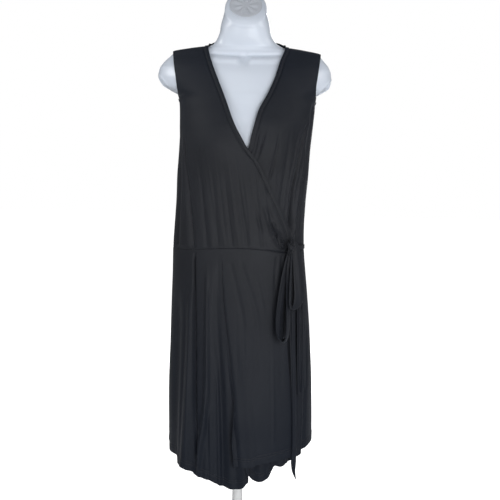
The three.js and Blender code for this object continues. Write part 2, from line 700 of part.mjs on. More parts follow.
function formRing(height, shrink = 0) {
  return Array.from({ length: formSides }, (_, j) => {
    const angle = (j / formSides) * 360;
    const p = sectionPoint(formSection(height), angle);
    const out = angle > 0 && angle < 180 ? bustOut(p.x, height) * formBust * Math.sin(radians(angle)) : 0;
    return new THREE.Vector3(p.x + p.nx * (out - shrink), p.y + p.ny * (out - shrink), height);
  });
}

function neckRing(share) {
  const root = formSection(1222);
  const part = (a, b) => mix(a, b, ease(share * 1.4));
  return Array.from({ length: formSides }, (_, j) => {
    const section = {
      right: part(root.right, neckCut.half), left: part(root.left, neckCut.half),
      front: part(root.front, neckCut.front), back: part(root.back, neckCut.back),
      mid: mix(root.mid, neckCut.mid, share), square: 2,
    };
    const p = sectionPoint(section, (j / formSides) * 360);
    return new THREE.Vector3(p.x, p.y, mix(1222, neckCut.height, share) + p.y * neckCut.slope * share);
  });
}

function form() {
  const bottom = [formRing(455, 14), formRing(456, 6)];
  const rings = [...bottom, ...formHeights.map((height) => formRing(height, height < 460 ? 2 : 0))];
  const neck = [0.25, 0.5, 0.75, 0.94, 1].map(neckRing);
  const rim = neck.at(-1);
  const centre = rim.reduce((sum, p) => sum.add(p), new THREE.Vector3()).divideScalar(formSides);
  const lift = new THREE.Vector3(0, -neckCut.slope, 1).normalize();
  const capRing = (out, scale) =>
    rim.map((p) => p.clone().sub(centre).multiplyScalar(scale).add(centre).addScaledVector(lift, out));
  return [
    ringSolid("form_torso", [...rings, ...neck], formSkin),
    ringSolid("form_neck_cap", [capRing(0.3, 0.93), capRing(1.8, 0.93), capRing(2.3, 0.9)], capGrey),
  ];
}

// Stand
const stand = { baseRadius: 160, baseThick: 12, edge: 4, hubRadius: 24, hubTop: 30, poleRadius: 12.5 };
const standRing = (radius, height) =>
  Array.from({ length: 32 }, (_, j) => {
    const angle = radians(-(j / 32) * 360);
    return new THREE.Vector3(radius * Math.cos(angle), radius * Math.sin(angle), height);
  });

function standParts() {
  const { baseRadius, baseThick, edge, hubRadius, hubTop, poleRadius } = stand;
  const base = [
    standRing(baseRadius, 0), standRing(baseRadius, baseThick - edge), standRing(baseRadius - edge, baseThick),
    standRing(hubRadius + edge, baseThick), standRing(hubRadius, baseThick + edge), standRing(hubRadius, hubTop - 2),
    standRing(hubRadius - 2, hubTop),
  ];
  const pole = [standRing(poleRadius, hubTop + seamGap), standRing(poleRadius, 455 - seamGap)];
  return [ringSolid("stand_base", base, standWhite), ringSolid("stand_pole", pole, standWhite)];
}

// Tie: strips of jersey that leave a flat knot on the waist seam at the wearer's left. Each row of a strip's
// table is one stop along its middle: height, x, its width across, and how far it hangs off the skirt.
const knot = { x: 112, height: 719, wide: 17, tall: 34, deep: 27, off: 4 };
const stripColumns = ["height", "x", "width", "off"];
const strips = {
  tie_loop_long: list(stripColumns, [
    [701.6, 108.5, 8, 19], [690, 105, 13, 20], [668, 101, 22, 20], [640, 99, 29, 19], [600, 98, 34, 18],
    [560, 97.5, 37, 18], [525, 97.5, 38, 18], [514, 97.5, 38, 17], [510, 97.5, 38, 14], [514, 97.5, 38, 11],
    [525, 97.5, 38, 10], [560, 97.5, 37, 10], [600, 98, 34, 10], [640, 99, 29, 10.5], [668, 101, 22, 11.5],
    [690, 105, 13, 12], [701.6, 108.5, 8, 13],
  ]),
  tie_loop_short: list(stripColumns, [
    [701.6, 118.5, 7, 29], [690, 120, 12, 34], [670, 122.5, 21, 38], [640, 125, 30, 41], [605, 126.5, 35, 42],
    [592, 126.5, 36, 41], [588, 126.5, 36, 38], [592, 126.5, 36, 35], [605, 126.5, 35, 34], [640, 125, 30, 33],
    [670, 122.5, 21, 30], [690, 120, 12, 27], [701.6, 118.5, 7, 23],
  ]),
  tie_tail_long: list(stripColumns, [
    [701.6, 110.5, 7, 9.5], [670, 114, 13, 7.5], [630, 117, 21, 7], [578, 121, 26, 7], [520, 124, 19, 7],
    [450, 126, 12, 8], [372, 127.5, 10, 9], [300, 130, 10, 10], [216, 132.5, 10, 10], [186, 133, 7, 10],
    [171, 133, 2.5, 10],
  ]),
  tie_tail_short: list(stripColumns, [
    [701.6, 117.5, 5.5, 14], [690, 121, 8, 8], [670, 126, 12, 4], [630, 133, 15, 4], [579, 139.5, 17, 4], [520, 142, 16, 4],
    [450, 144, 15, 4], [402, 145, 15, 4], [380, 145.5, 15, 4],
  ]),
};
const tailCut = 18; // the short tail's end is cut this much higher at its outer side

function strip(name, { across = 5, curl = 1.5, slant = 0 }) {
  const stops = strips[name];
  const wall = 1.4;
  const grid = evenly(across).map((share) =>
    stops.map((stop, k) => {
      const x = stop.x + (share - 0.5) * stop.width;
      const height = stop.height + (k === stops.length - 1 ? slant * share : 0);
      const bow = curl * (1 - (2 * share - 1) ** 2);
      return new THREE.Vector3(x, dressY(stop.x, stop.height) - (x - stop.x) * -0.35 - stop.off - bow, height);
    }),
  );
  const normals = gridNormals(grid, (i, j) => (j === 0 || j === stops.length - 1 ? "z" : null));
  return clothSolid(name, grid, normals, jersey, 0, -wall);
}

const knotMiddle = () => dressY(knot.x, knot.height) - knot.off - knot.deep / 2;

function knotSolid() {
  const middle = knotMiddle();
  const half = { left: knot.wide / 2, right: knot.wide / 2, front: knot.deep / 2, back: knot.deep / 2 };
  const rings = list(["rise", "size"], [
    [-0.5, 0.8], [-0.46, 0.92], [-0.3, 0.98], [0, 1], [0.3, 0.98], [0.44, 0.9], [0.5, 0.7],
  ]).map(({ rise, size }) =>
    Array.from({ length: 16 }, (_, j) => {
      const p = sectionPoint({ ...half, mid: 0, square: 2.6 }, (j / 16) * 360);
      return new THREE.Vector3(knot.x + p.x * size, middle + p.y * size, knot.height + rise * knot.tall);
    }),
  );
  return ringSolid("tie_knot", rings, jersey);
}

// The second tie comes from the left side seam over the hip, and its end turns out to the knot
const sideTieSize = { from: 2, to: 34, wallOut: 1.65, fold: 0.8, wideAtSeam: 20, wideAtKnot: 12, below: 3 };

function sideTie() {
  const t = sideTieSize;
  const end = { x: knot.x + knot.wide / 2 + 0.4, y: knotMiddle() + 5 };
  const grid = [-0.5, -0.2, 0.2, 0.5].map((share) =>
    evenly(13).map((along) => {
      const height = knot.height - t.below + share * mix(t.wideAtSeam, t.wideAtKnot, along);
      const out = t.wallOut + (Math.abs(share) < 0.3 ? t.fold : 0);
      const p = sectionPoint(dressSection(height), mix(t.from, t.to, along), out);
      const toKnot = ease((along - 0.72) / 0.28);
      return new THREE.Vector3(mix(p.x, end.x, toKnot), mix(p.y - seamGap / 2, end.y, toKnot), height);
    }),
  );
  return clothSolid("tie_side", grid, gridNormals(grid), jersey, 0, -1.3);
}

function ties() {
  return [
    knotSolid(),
    strip("tie_loop_long", {}),
    strip("tie_loop_short", {}),
    strip("tie_tail_long", { curl: 4 }),
    strip("tie_tail_short", { slant: tailCut }),
    sideTie(),
  ];
}

const dress = new THREE.Group();
dress.add(...bodiceFronts(), ...bodiceBack(), armholeBand("armhole_band_right", false));
dress.add(armholeBand("armhole_band_left", true), ...skirt(), ...ties(), ...form(), ...standParts());

export default dress;
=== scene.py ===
import math

import bmesh
import bpy
import numpy as np
from mathutils import Matrix, Vector


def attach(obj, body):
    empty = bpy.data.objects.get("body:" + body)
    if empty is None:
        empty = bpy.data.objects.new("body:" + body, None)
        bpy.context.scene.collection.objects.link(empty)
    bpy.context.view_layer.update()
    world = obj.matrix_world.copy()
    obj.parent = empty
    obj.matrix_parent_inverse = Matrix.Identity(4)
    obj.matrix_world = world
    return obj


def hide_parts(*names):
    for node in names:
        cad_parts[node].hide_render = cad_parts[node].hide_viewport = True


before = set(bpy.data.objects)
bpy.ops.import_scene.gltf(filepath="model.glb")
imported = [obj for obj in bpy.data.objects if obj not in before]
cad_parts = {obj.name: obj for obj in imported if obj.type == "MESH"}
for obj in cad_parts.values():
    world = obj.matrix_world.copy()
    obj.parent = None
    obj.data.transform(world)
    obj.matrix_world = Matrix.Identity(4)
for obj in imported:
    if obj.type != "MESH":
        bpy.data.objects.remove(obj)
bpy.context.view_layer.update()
metre = 0.001
print("frame loaded:", len(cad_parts), "nodes")

# Camera
cameraSet = {
    "distance": 2200, "height": 900, "aimHeight": 700, "side": 18,  # where it stands, in front of the dress
    "roll": 1.3,  # degrees, the dress leans to the picture's right
    "lens": 65.19, "sensor": 36,
}


def addCamera(c):
    pitch = math.atan((c["height"] - c["aimHeight"]) / c["distance"])
    roll = math.radians(c["roll"])
    forward = Vector((0, math.cos(pitch), -math.sin(pitch)))
    level, upright = Vector((1, 0, 0)), Vector((0, math.sin(pitch), math.cos(pitch)))
    right = level * math.cos(roll) + upright * math.sin(roll)
    up = upright * math.cos(roll) - level * math.sin(roll)
    data = bpy.data.cameras.new("photoCamera")
    data.lens, data.sensor_width = c["lens"], c["sensor"]
    data.clip_start, data.clip_end = 0.05, 60
    camera = bpy.data.objects.new("photoCamera", data)
    place = Matrix((right, up, -forward)).transposed().to_4x4()
    place.translation = Vector((c["side"], -c["distance"], c["height"])) * metre
    camera.matrix_world = place
    bpy.context.collection.objects.link(camera)
    bpy.context.scene.camera = camera


addCamera(cameraSet)
print("camera placed")


# Curves and sections
def mix(a, b, t):
    return a + (b - a) * t


def ease(t):
    t = np.clip(t, 0, 1)
    return t * t * (3 - 2 * t)


def curve(rows):  # a smooth line through the rows that never overshoots between two of them
    keys, values = (np.array(column, float) for column in zip(*rows))
    steps = np.diff(values) / np.diff(keys)
    slopes = np.empty(len(keys))
    slopes[0], slopes[-1] = steps[0], steps[-1]
    product, total = steps[:-1] * steps[1:], steps[:-1] + steps[1:]
    slopes[1:-1] = np.where(product > 0, 2 * product / np.where(total == 0, 1, total), 0)

    def at(key):
        key = np.clip(key, keys[0], keys[-1])
        i = np.clip(np.searchsorted(keys, key) - 1, 0, len(keys) - 2)
        width = keys[i + 1] - keys[i]
        t = (key - keys[i]) / width
        return ((2 * t**3 - 3 * t**2 + 1) * values[i] + (t**3 - 2 * t**2 + t) * width * slopes[i]
                + (3 * t**2 - 2 * t**3) * values[i + 1] + (t**3 - t**2) * width * slopes[i + 1])
    return at


def table(names, rows):  # curves by name, keyed by the rows' first number
    columns = list(zip(*rows))
    curves = {name: curve(list(zip(columns[0], column))) for name, column in zip(names, columns[1:])}
    return lambda key: {name: at(key) for name, at in curves.items()}


sectionColumns = ["right", "left", "front", "back", "mid", "square"]

# Plan sections of the worn dress by height: half-widths, depths before and behind y = mid, and squareness
dressSection = table(sectionColumns, [
    (140, 171, 179, 150, 142, 0, 2.4), (225, 173, 181, 146, 138, 0, 2.4),
    (375, 174, 177, 138, 131, 0, 2.4), (475, 172, 171, 132, 126, 0, 2.4),
    (600, 170, 160, 126, 119, 0, 2.4), (655, 169, 154, 121, 112, 0, 2.4),
    (710, 169, 149, 116, 103, 0, 2.4), (755, 167, 148, 116, 101, 0, 2.4),
    (818, 163.5, 150, 118, 101, 0, 2.4), (880, 162, 154.5, 122, 104, 0, 2.4),
    (945, 158.5, 158, 127, 108, 0, 2.4), (990, 157, 162, 124, 110, 0, 2.4),
    (1035, 158, 166, 115, 111, 2, 2.36), (1062, 161, 168, 109, 109.6, 4, 2.2),
    (1072, 175, 179, 105, 107.4, 4, 2.05), (1085, 193, 195, 100, 103.8, 5, 1.91),
    (1100, 206, 206, 95, 98.2, 6, 1.83), (1118, 212, 212, 88, 89.4, 7, 1.8),
    (1135, 212, 212, 79, 80.6, 8, 1.85), (1150, 206, 206, 69, 72, 9, 1.9),
    (1163, 193, 193, 58, 67, 10, 2), (1174, 177, 177, 49, 63, 10, 2.2),
    (1181, 140, 140, 46, 61, 10, 2.4), (1189, 92, 92, 45, 60, 10, 2.4),
    (1203, 88, 88, 45, 61, 10, 2.4), (1220, 84, 84, 45, 62, 10, 2.4),
])

# Plan sections of the dress form, up to the root of its neck
formSection = table(sectionColumns, [
    (455, 158, 156, 108, 110, 0, 2.3), (500, 162, 158, 113, 118, 0, 2.3),
    (545, 161, 151, 114, 116, 0, 2.3), (600, 155, 144, 109, 108, 0, 2.3),
    (655, 141, 134, 100, 94, 0, 2.3), (712, 131, 127, 94, 84, 0, 2.3), (780, 135, 132, 94, 86, 0, 2.3),
    (850, 142, 141, 100, 92, 0, 2.3), (945, 149, 149, 112, 98, 0, 2.3),
    (1010, 151, 153, 108, 101, 1, 2.3), (1050, 153, 155, 101, 101, 4, 2.25),
    (1066, 157, 158, 97, 98, 4, 2.1), (1078, 176, 177, 93, 95, 5, 1.95),
    (1094, 202, 200, 88, 90, 6, 1.85), (1115, 212, 204, 80, 82, 7, 1.85),
    (1132, 209, 202, 71, 74, 8, 1.9), (1146, 200, 195, 60, 66, 9, 1.95),
    (1159, 187, 184, 51, 60, 10, 2), (1170.6, 172, 172, 43, 52, 10, 2.2),
    (1177.6, 136, 136, 40, 46, 10, 2.3), (1185.2, 94, 94, 40, 42, 9.5, 2.3),
    (1193, 78, 78, 42, 47, 8, 2.2), (1206, 67, 66, 46, 51, 7, 2.1), (1222, 60, 60, 48, 50, 5, 2),
])


# Angles run from the wearer's left side (0) over the front (90), the right side (180) and the back (270)
def sectionPoint(section, angle, out=0):
    cos, sin = np.cos(np.radians(angle)), np.sin(np.radians(angle))
    half = np.where(cos >= 0, section["left"], section["right"])
    deep = np.where(sin >= 0, section["front"], section["back"])
    n = section["square"]
    r = 1 / ((np.abs(cos) / half) ** n + (np.abs(sin) / deep) ** n) ** (1 / n)
    nx = np.sign(cos) * (np.abs(r * cos) / half) ** (n - 1) / half
    ny = -np.sign(sin) * (np.abs(r * sin) / deep) ** (n - 1) / deep
    length = np.hypot(nx, ny)
    nx, ny = nx / length, ny / length
    return r * cos + out * nx, section["mid"] - r * sin + out * ny, nx, ny


def angleOfX(section, x, front=True):
    half = np.where(x >= 0, section["left"], section["right"])
    deep = section["front"] if front else section["back"]
    share = (1 - np.clip(np.abs(x) / half, 0, 1) ** section["square"]) ** (1 / section["square"])
    angle = np.degrees(np.arctan2(deep * share, x))
    return angle if front else 360 - angle


def dressY(x, height):  # y of the smooth dress at x, before any fold
    section = dressSection(height)
    return sectionPoint(section, angleOfX(section, x))[1]


bust = {"apart": 74, "height": 952, "wide": 48, "tall": 56, "out": 9}


def bustOut(x, height):
    tall = np.exp(-(((height - bust["height"]) / bust["tall"]) ** 2))
    side = sum(np.exp(-(((x - centre) / bust["wide"]) ** 2)) for centre in (-bust["apart"], bust["apart"]))
    return bust["out"] * tall * side


formFoot = 455  # the height of the form's underside
formBust = 0.8  # the form's share of the dress's bust


def offForm(x, y, height, least=1.9):  # moves a point of the cloth out where it would touch the dress form
    section = formSection(height)
    half = np.where(x >= 0, section["left"], section["right"])
    fromMid = y - section["mid"]
    deep = np.where(fromMid <= 0, section["front"], section["back"])
    n = section["square"]
    reach = ((np.abs(x) / half) ** n + (np.abs(fromMid) / deep) ** n) ** (1 / n)
    away = np.maximum(np.hypot(x, fromMid), 1)
    needed = least + formBust * bustOut(x, height) * np.where(fromMid < 0, np.abs(fromMid) / away, 0)
    scale = np.where(height > formFoot - 3, np.maximum(1, (1 + needed * reach / away) / reach), 1)
    return x * scale, section["mid"] + fromMid * scale


# Folds: each follows a path of (height, x) points. Low and high are its width and how far it stands out, or
# in if less than nothing, at its lowest and highest point, and fade the lengths in which it dies out there.
def foldOut(folds, x, height):
    total = 0 * (x + height)
    for path, lowWidth, highWidth, lowOut, highOut, lowFade, highFade in folds:
        bottom, top = path[0][0], path[-1][0]
        share = np.clip((height - bottom) / (top - bottom), 0, 1)
        away = np.abs(x - curve(path)(height)) / (mix(lowWidth, highWidth, share) / 2)
        ends = ease((height - bottom) / lowFade + 0.001) * ease((top - height) / highFade + 0.001)
        bell = np.where(away < 1, 0.5 + 0.5 * np.cos(np.pi * np.minimum(away, 1)), 0)
        total = total + mix(lowOut, highOut, share) * ends * bell
    return total


def fineFolds(seed, count, left, right, bottoms, tops, lean, widths, outs):
    # many small folds of uneven length, depth and spacing; lean moves their feet sideways, from first to last
    random = np.random.RandomState(seed)
    folds = []
    for k in range(count):
        share = (k + random.uniform(0.1, 0.9)) / count
        top, bottom = random.uniform(*tops), random.uniform(*bottoms)
        xTop = mix(left, right, share)
        xBottom = xTop + mix(*lean, share) * (top - bottom) / 200 + random.uniform(-3, 3)
        width, out = random.uniform(*widths), random.uniform(*outs) * random.choice([1, -1])
        middle = (top + bottom) / 2
        path = [(bottom, xBottom), (middle, (xTop + xBottom) / 2 + random.uniform(-2.5, 2.5)), (top, xTop)]
        lowFade, highFade = (top - bottom) * random.uniform(0.1, 0.4), (top - bottom) * 0.6
        folds.append((path, width, width * 0.8, out, out * 0.7, lowFade, highFade))
    return folds


# Meshes
def linkMesh(name, bm):
    mesh = bpy.data.meshes.new(name)
    bm.to_mesh(mesh)
    bm.free()
    mesh.shade_smooth()
    piece = bpy.data.objects.new(name, mesh)
    bpy.context.collection.objects.link(piece)
    return piece


def runAlong(points, axis):  # the mean length run along the rows or columns of a grid of points
    steps = np.linalg.norm(np.diff(points, axis=axis), axis=2).mean(axis=1 - axis)
    return np.concatenate([[0], np.cumsum(steps)])


def clothGrid(name, across, up, place, closeSeam=False):
    # a grid bent to the place of each of its points; its UV map is in metres of cloth
    bm = bmesh.new()
    bmesh.ops.create_grid(bm, x_segments=across, y_segments=up, size=0.5)
    flat = np.array([v.co for v in bm.verts])
    u, v = flat[:, 0] + 0.5, flat[:, 1] + 0.5
    points = np.stack(place(u, v), axis=1) * metre
    order = np.lexsort((u, v))
    sheetOf = points[order].reshape(up + 1, across + 1, 3)
    alongRow, alongColumn = runAlong(sheetOf, 1), runAlong(sheetOf, 0)
    column, row = np.rint(u * across).astype(int), np.rint(v * up).astype(int)
    uvLayer = bm.loops.layers.uv.new("cloth")
    for face in bm.faces:
        for loop in face.loops:
            k = loop.vert.index
            loop[uvLayer].uv = (alongRow[column[k]], alongColumn[row[k]])
    for vert, point in zip(bm.verts, points):
        vert.co = point
    if closeSeam:
        bmesh.ops.remove_doubles(bm, verts=bm.verts, dist=1e-6)
    return linkMesh(name, bm)


def wall(piece, thickness, offset=-1.0):
    # gives the cloth its wall, then keeps its cut edges crisp
    solidify = piece.modifiers.new("wall", "SOLIDIFY")
    solidify.thickness, solidify.offset, solidify.use_even_offset = thickness * metre, offset, False
    thin = piece.data
    piece.data = bpy.data.meshes.new_from_object(piece.evaluated_get(bpy.context.evaluated_depsgraph_get()))
    piece.data.name = piece.name
    piece.modifiers.clear()
    bpy.data.meshes.remove(thin)
    piece.data.set_sharp_from_angle(angle=math.radians(62))
    return piece


def finishPiece(piece, material, slotName, *nodes):
    piece.data.materials.append(material)
    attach(piece, "root")
    if nodes:
        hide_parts(*nodes)
    return piece


# Materials
def newMaterial(name, colour, roughness, **sockets):
    material = bpy.data.materials.new(name)
    material.use_nodes = True
    shader = material.node_tree.nodes["Principled BSDF"]
    shader.inputs["Base Color"].default_value = (*colour, 1)
    shader.inputs["Roughness"].default_value = roughness
    for socket, value in sockets.items():
        shader.inputs[socket].default_value = value
    return material, material.node_tree.nodes, material.node_tree.links, shader


def ramp(nodes, stops):
    node = nodes.new("ShaderNodeValToRGB")
    while len(node.color_ramp.elements) < len(stops):
        node.color_ramp.elements.new(0.5)
    for element, (at, colour) in zip(node.color_ramp.elements, stops):
        element.position, element.color = at, (*colour, 1)
    return node


def noiseOf(nodes, links, place, scale, detail):
    noise = nodes.new("ShaderNodeTexNoise")
    noise.inputs["Scale"].default_value, noise.inputs["Detail"].default_value = scale, detail
    links.new(place.outputs["Object"], noise.inputs["Vector"])
    return noise.outputs["Fac"]


def shadesOf(nodes, links, value, stops):
    shades = ramp(nodes, stops)
    links.new(value, shades.inputs["Fac"])
    return shades.outputs["Color"]


def mathOf(nodes, links, operation, *values):  # a number among the values stays a fixed one
    node = nodes.new("ShaderNodeMath")
    node.operation = operation
    for socket, value in zip(node.inputs, values):
        if isinstance(value, float):
            socket.default_value = value
        else:
            links.new(value, socket)
    return node.outputs["Value"]


def addBump(nodes, links, shader, height, strength, distance):
    bump = nodes.new("ShaderNodeBump")
    bump.inputs["Strength"].default_value, bump.inputs["Distance"].default_value = strength, distance
    links.new(height, bump.inputs["Height"])
    links.new(bump.outputs["Normal"], shader.inputs["Normal"])


jerseyLook = {
    "dark": (0.0085, 0.0096, 0.0130), "light": (0.0125, 0.0140, 0.0185),
    "roughness": 0.63, "sheen": 0.06, "sheenRoughness": 0.5, "sheenTint": (0.80, 0.86, 1, 1), "specular": 0.25,
    "waleWidth": 0.75, "courseHeight": 0.62, "fuzz": 0.6, "bump": (0.25, 0.0002),
    # the colour of the painted shade, darker and bluer than the cloth
    "paintedShadeColour": (0.0020, 0.0050, 0.0120),
    # painted shade, darker and bluer where the light falls off at the hem and at the shoulders: the height in metres
    # where it is full, where it ends, its share
    "paintedShadeBands": [(0.24, 0.72, 0.95), (1.14, 0.93, 0.75)],
}
waveLength = 0.314159  # of a wave texture at scale 1


# painted shade by height: how far the cloth's colour is mixed towards the darker shade colour at the hem and at the
# shoulders, where less light falls
def paintedShadeByHeight(nodes, links, height, paintedShadeBands):
    fades = []
    for full, none, share in paintedShadeBands:
        fade = nodes.new("ShaderNodeMapRange")
        fade.inputs["From Min"].default_value, fade.inputs["From Max"].default_value = full, none
        fade.inputs["To Min"].default_value, fade.inputs["To Max"].default_value = share, 0
        links.new(height, fade.inputs["Value"])
        fades.append(fade.outputs["Result"])
    return mathOf(nodes, links, "MAXIMUM", *fades)


def knitOf(nodes, links, place, widths):  # wales and courses of the knit, from the cloth's own map
    waves = []
    for direction, width in zip("XY", widths):
        wave = nodes.new("ShaderNodeTexWave")
        wave.bands_direction, wave.wave_profile = direction, "SIN"
        wave.inputs["Scale"].default_value = waveLength / (width * metre)
        wave.inputs["Distortion"].default_value, wave.inputs["Detail"].default_value = 0.6, 0
        links.new(place.outputs["UV"], wave.inputs["Vector"])
        waves.append(wave.outputs["Fac"])
    return mathOf(nodes, links, "MULTIPLY", *waves)


def jerseyMaterial(look):
    material, nodes, links, shader = newMaterial("charcoalJersey", look["dark"], look["roughness"], **{
        "Sheen Weight": look["sheen"], "Sheen Roughness": look["sheenRoughness"],
        "Sheen Tint": look["sheenTint"], "Specular IOR Level": look["specular"],
    })
    place, height = nodes.new("ShaderNodeTexCoord"), nodes.new("ShaderNodeSeparateXYZ")
    links.new(place.outputs["Object"], height.inputs[0])
    # the cloth's own tones, mixed with the painted shade towards the hem and the shoulders
    paintedShadeMix = nodes.new("ShaderNodeMix")
    paintedShadeMix.data_type = "RGBA"
    links.new(paintedShadeByHeight(nodes, links, height.outputs["Z"], look["paintedShadeBands"]), paintedShadeMix.inputs["Factor"])
    clouds = noiseOf(nodes, links, place, 7, 4)
    links.new(shadesOf(nodes, links, clouds, [(0.3, look["dark"]), (0.7, look["light"])]), paintedShadeMix.inputs["A"])
    paintedShadeMix.inputs["B"].default_value = (*look["paintedShadeColour"], 1)
    links.new(paintedShadeMix.outputs["Result"], shader.inputs["Base Color"])
    knit = knitOf(nodes, links, place, (look["waleWidth"], look["courseHeight"]))
    fuzzy = mathOf(nodes, links, "MULTIPLY_ADD", noiseOf(nodes, links, place, 420, 3), look["fuzz"], knit)
    addBump(nodes, links, shader, fuzzy, *look["bump"])
    return material


# Noises are scale and detail, stops the noise's values at the two shades, bump its strength and distance
formLook = {
    "name": "mouldedForm", "shades": [(0.60, 0.655, 0.745), (0.63, 0.685, 0.77)], "stops": (0.25, 0.75),
    "roughness": 0.5, "mottle": (5, 3), "grain": (260, 2), "bump": (0.06, 0.0004),
    "coat": {"Coat Weight": 0.35, "Coat Roughness": 0.2},
}
capLook = {
    "name": "greyCap", "shades": [(0.47, 0.50, 0.555), (0.52, 0.55, 0.605)], "stops": (0.3, 0.7),
    "roughness": 0.6, "mottle": (300, 4), "grain": (300, 4), "bump": (0.08, 0.0003), "coat": {},
}
standLook = {
    "name": "whitePaint", "shades": [(0.93, 0.94, 0.95), (0.95, 0.955, 0.96)], "stops": (0.3, 0.7),
    "roughness": 0.35, "mottle": (120, 4), "grain": (120, 4), "bump": (0.08, 0.0003),
    "coat": {"Coat Weight": 0.2},
}


def smoothMaterial(look):
    low, high = look["shades"]
    material, nodes, links, shader = newMaterial(look["name"], low, look["roughness"], **look["coat"])
    place = nodes.new("ShaderNodeTexCoord")
    mottle = noiseOf(nodes, links, place, *look["mottle"])
    shades = shadesOf(nodes, links, mottle, list(zip(look["stops"], (low, high))))
    links.new(shades, shader.inputs["Base Color"])
    addBump(nodes, links, shader, noiseOf(nodes, links, place, *look["grain"]), *look["bump"])
    return material


jersey = jerseyMaterial(jerseyLook)
formSkin, capGrey, standPaint = (smoothMaterial(look) for look in (formLook, capLook, standLook))
thread = newMaterial("blackThread", (0.012, 0.0125, 0.016), 0.55, **{"Sheen Weight": 0.05})[0]
print("materials ready")

# The cut of the dress
cut = {
    "wall": 1.0, "seamGap": 0.06, "waistHeight": 710, "armholeBottom": 1062, "neckPoint": 92,
    "shoulderTip": 177, "tipHeight": 1174, "bandWidth": 8, "bandGap": 0.3, "bandWall": 1.0, "wrapInset": 6.2,
    "seamFade": 12, "sideX": -170,  # the back's waist seam is level with the front's at this x
    "tuckUp": 1.6, "tuckIn": 1.2,  # how far the skirt's top edge goes up and in behind the bodice
}

shoulderLine = curve([(cut["neckPoint"], 1189), (140, 1181), (cut["shoulderTip"], 1174), (200, 1160)])
backNeckLine = curve([(0, 1209), (45, 1208), (70, 1205), (82, 1200), (cut["neckPoint"], 1189)])
armholeRight = curve([(1062, 161), (1072, 161), (1087, 163), (1113, 167), (1135, 171), (1174, 177)])
armholeLeft = curve([
    (1062, 168), (1068, 167), (1077, 165), (1090, 165), (1113, 168), (1135, 171), (1174, 177),
])
outerEdge = curve([
    (700, 119), (720, 116), (742, 113), (786, 96), (850, 64), (911, 32), (942, 8.5), (962, -3.5),
    (1001, -24.5), (1053, -44.5), (1105, -65.6), (1144, -81), (1180, -91), (1189, -92),
])
underEdge = curve([
    (700, -112), (742, -96), (786, -78), (850, -46), (911, -13), (944, 9), (974, 15), (1002, 22),
    (1028, 29), (1072, 51), (1111, 67), (1148, 78), (1180, 90), (1189, 92),
])
waistSeam = curve([
    (-170, 705), (-120, 706.5), (-80, 710), (-40, 713), (0, 714), (52, 711), (100, 705.5), (125, 705),
    (150, 708),
])

# Rows: path, width low and high, out low and high, fade low and high
outerBodiceFolds = [
    ([(705, -160), (880, -153), (1000, -152)], 24, 20, -8, -4, 1, 60),
    ([(700, -136), (860, -140), (985, -144)], 34, 30, 3.0, 1.5, 1, 80),
    ([(700, -116), (729, -117.5), (932, -138), (985, -141)], 10, 8, -5.5, -3.5, 1, 60),
    ([(700, -111), (729, -112.6), (886, -131), (930, -135)], 8, 8, -2.2, -1.4, 1, 60),
    ([(700, -126), (800, -133), (900, -143)], 9, 8, 1.2, 1.0, 1, 60),
    ([(700, -81), (731, -84), (937, -107), (975, -111)], 14, 13, -2.9, -1.6, 1, 110),
    ([(700, -53), (727, -56.4), (938, -79)], 12, 13, -2.3, -1.1, 1, 120),
    ([(700, -21), (728, -24), (920, -51.5)], 14, 13, -2.9, -1.4, 1, 110),
    ([(700, 13), (729, 10.6), (898, -19)], 14, 13, -2.8, -1.4, 1, 100),
    ([(700, 48), (734, 45), (860, 14)], 13, 12, -2.6, -1.1, 1, 90),
    ([(700, -68), (840, -84), (950, -95)], 12, 14, 1.8, 1.1, 1, 120),
    ([(700, -38), (840, -58), (940, -68)], 10, 12, 1.6, 0.8, 1, 120),
    ([(700, -5), (840, -26), (920, -36)], 12, 12, 1.7, 0.9, 1, 110),
    ([(706, 99), (716, 92), (760, 76), (803, 51), (850, 28)], 8, 16, 2.6, 0.8, 3, 60),
    ([(708, 103), (724, 97), (760, 80), (800, 62), (840, 48)], 7, 10, -3.4, -0.8, 3, 60),
    ([(706, 106), (710, 96), (714, 89), (722, 81), (746, 69), (806, 49), (840, 40)],
     11, 13, 7.5, 1.2, 2, 60),
    ([(708, 106), (712, 98), (718, 91), (726, 86), (746, 77), (790, 62), (820, 53)],
     8, 9, -6.5, -1.5, 2, 50),
    ([(716, 106), (724, 98), (733, 90), (744, 80), (762, 74)], 8, 7, -7.5, -3.0, 2, 20),
    ([(722, 106), (734, 98), (748, 91), (768, 84)], 8, 7, -6.5, -2.5, 3, 20),
    ([(700, 72), (720, 60), (780, 36), (830, 18)], 12, 12, -1.5, -0.6, 1, 60),
] + fineFolds(4, 44, -148, 44, (700, 790), (850, 1000), (22, 34), (4.5, 9), (0.45, 1.15))
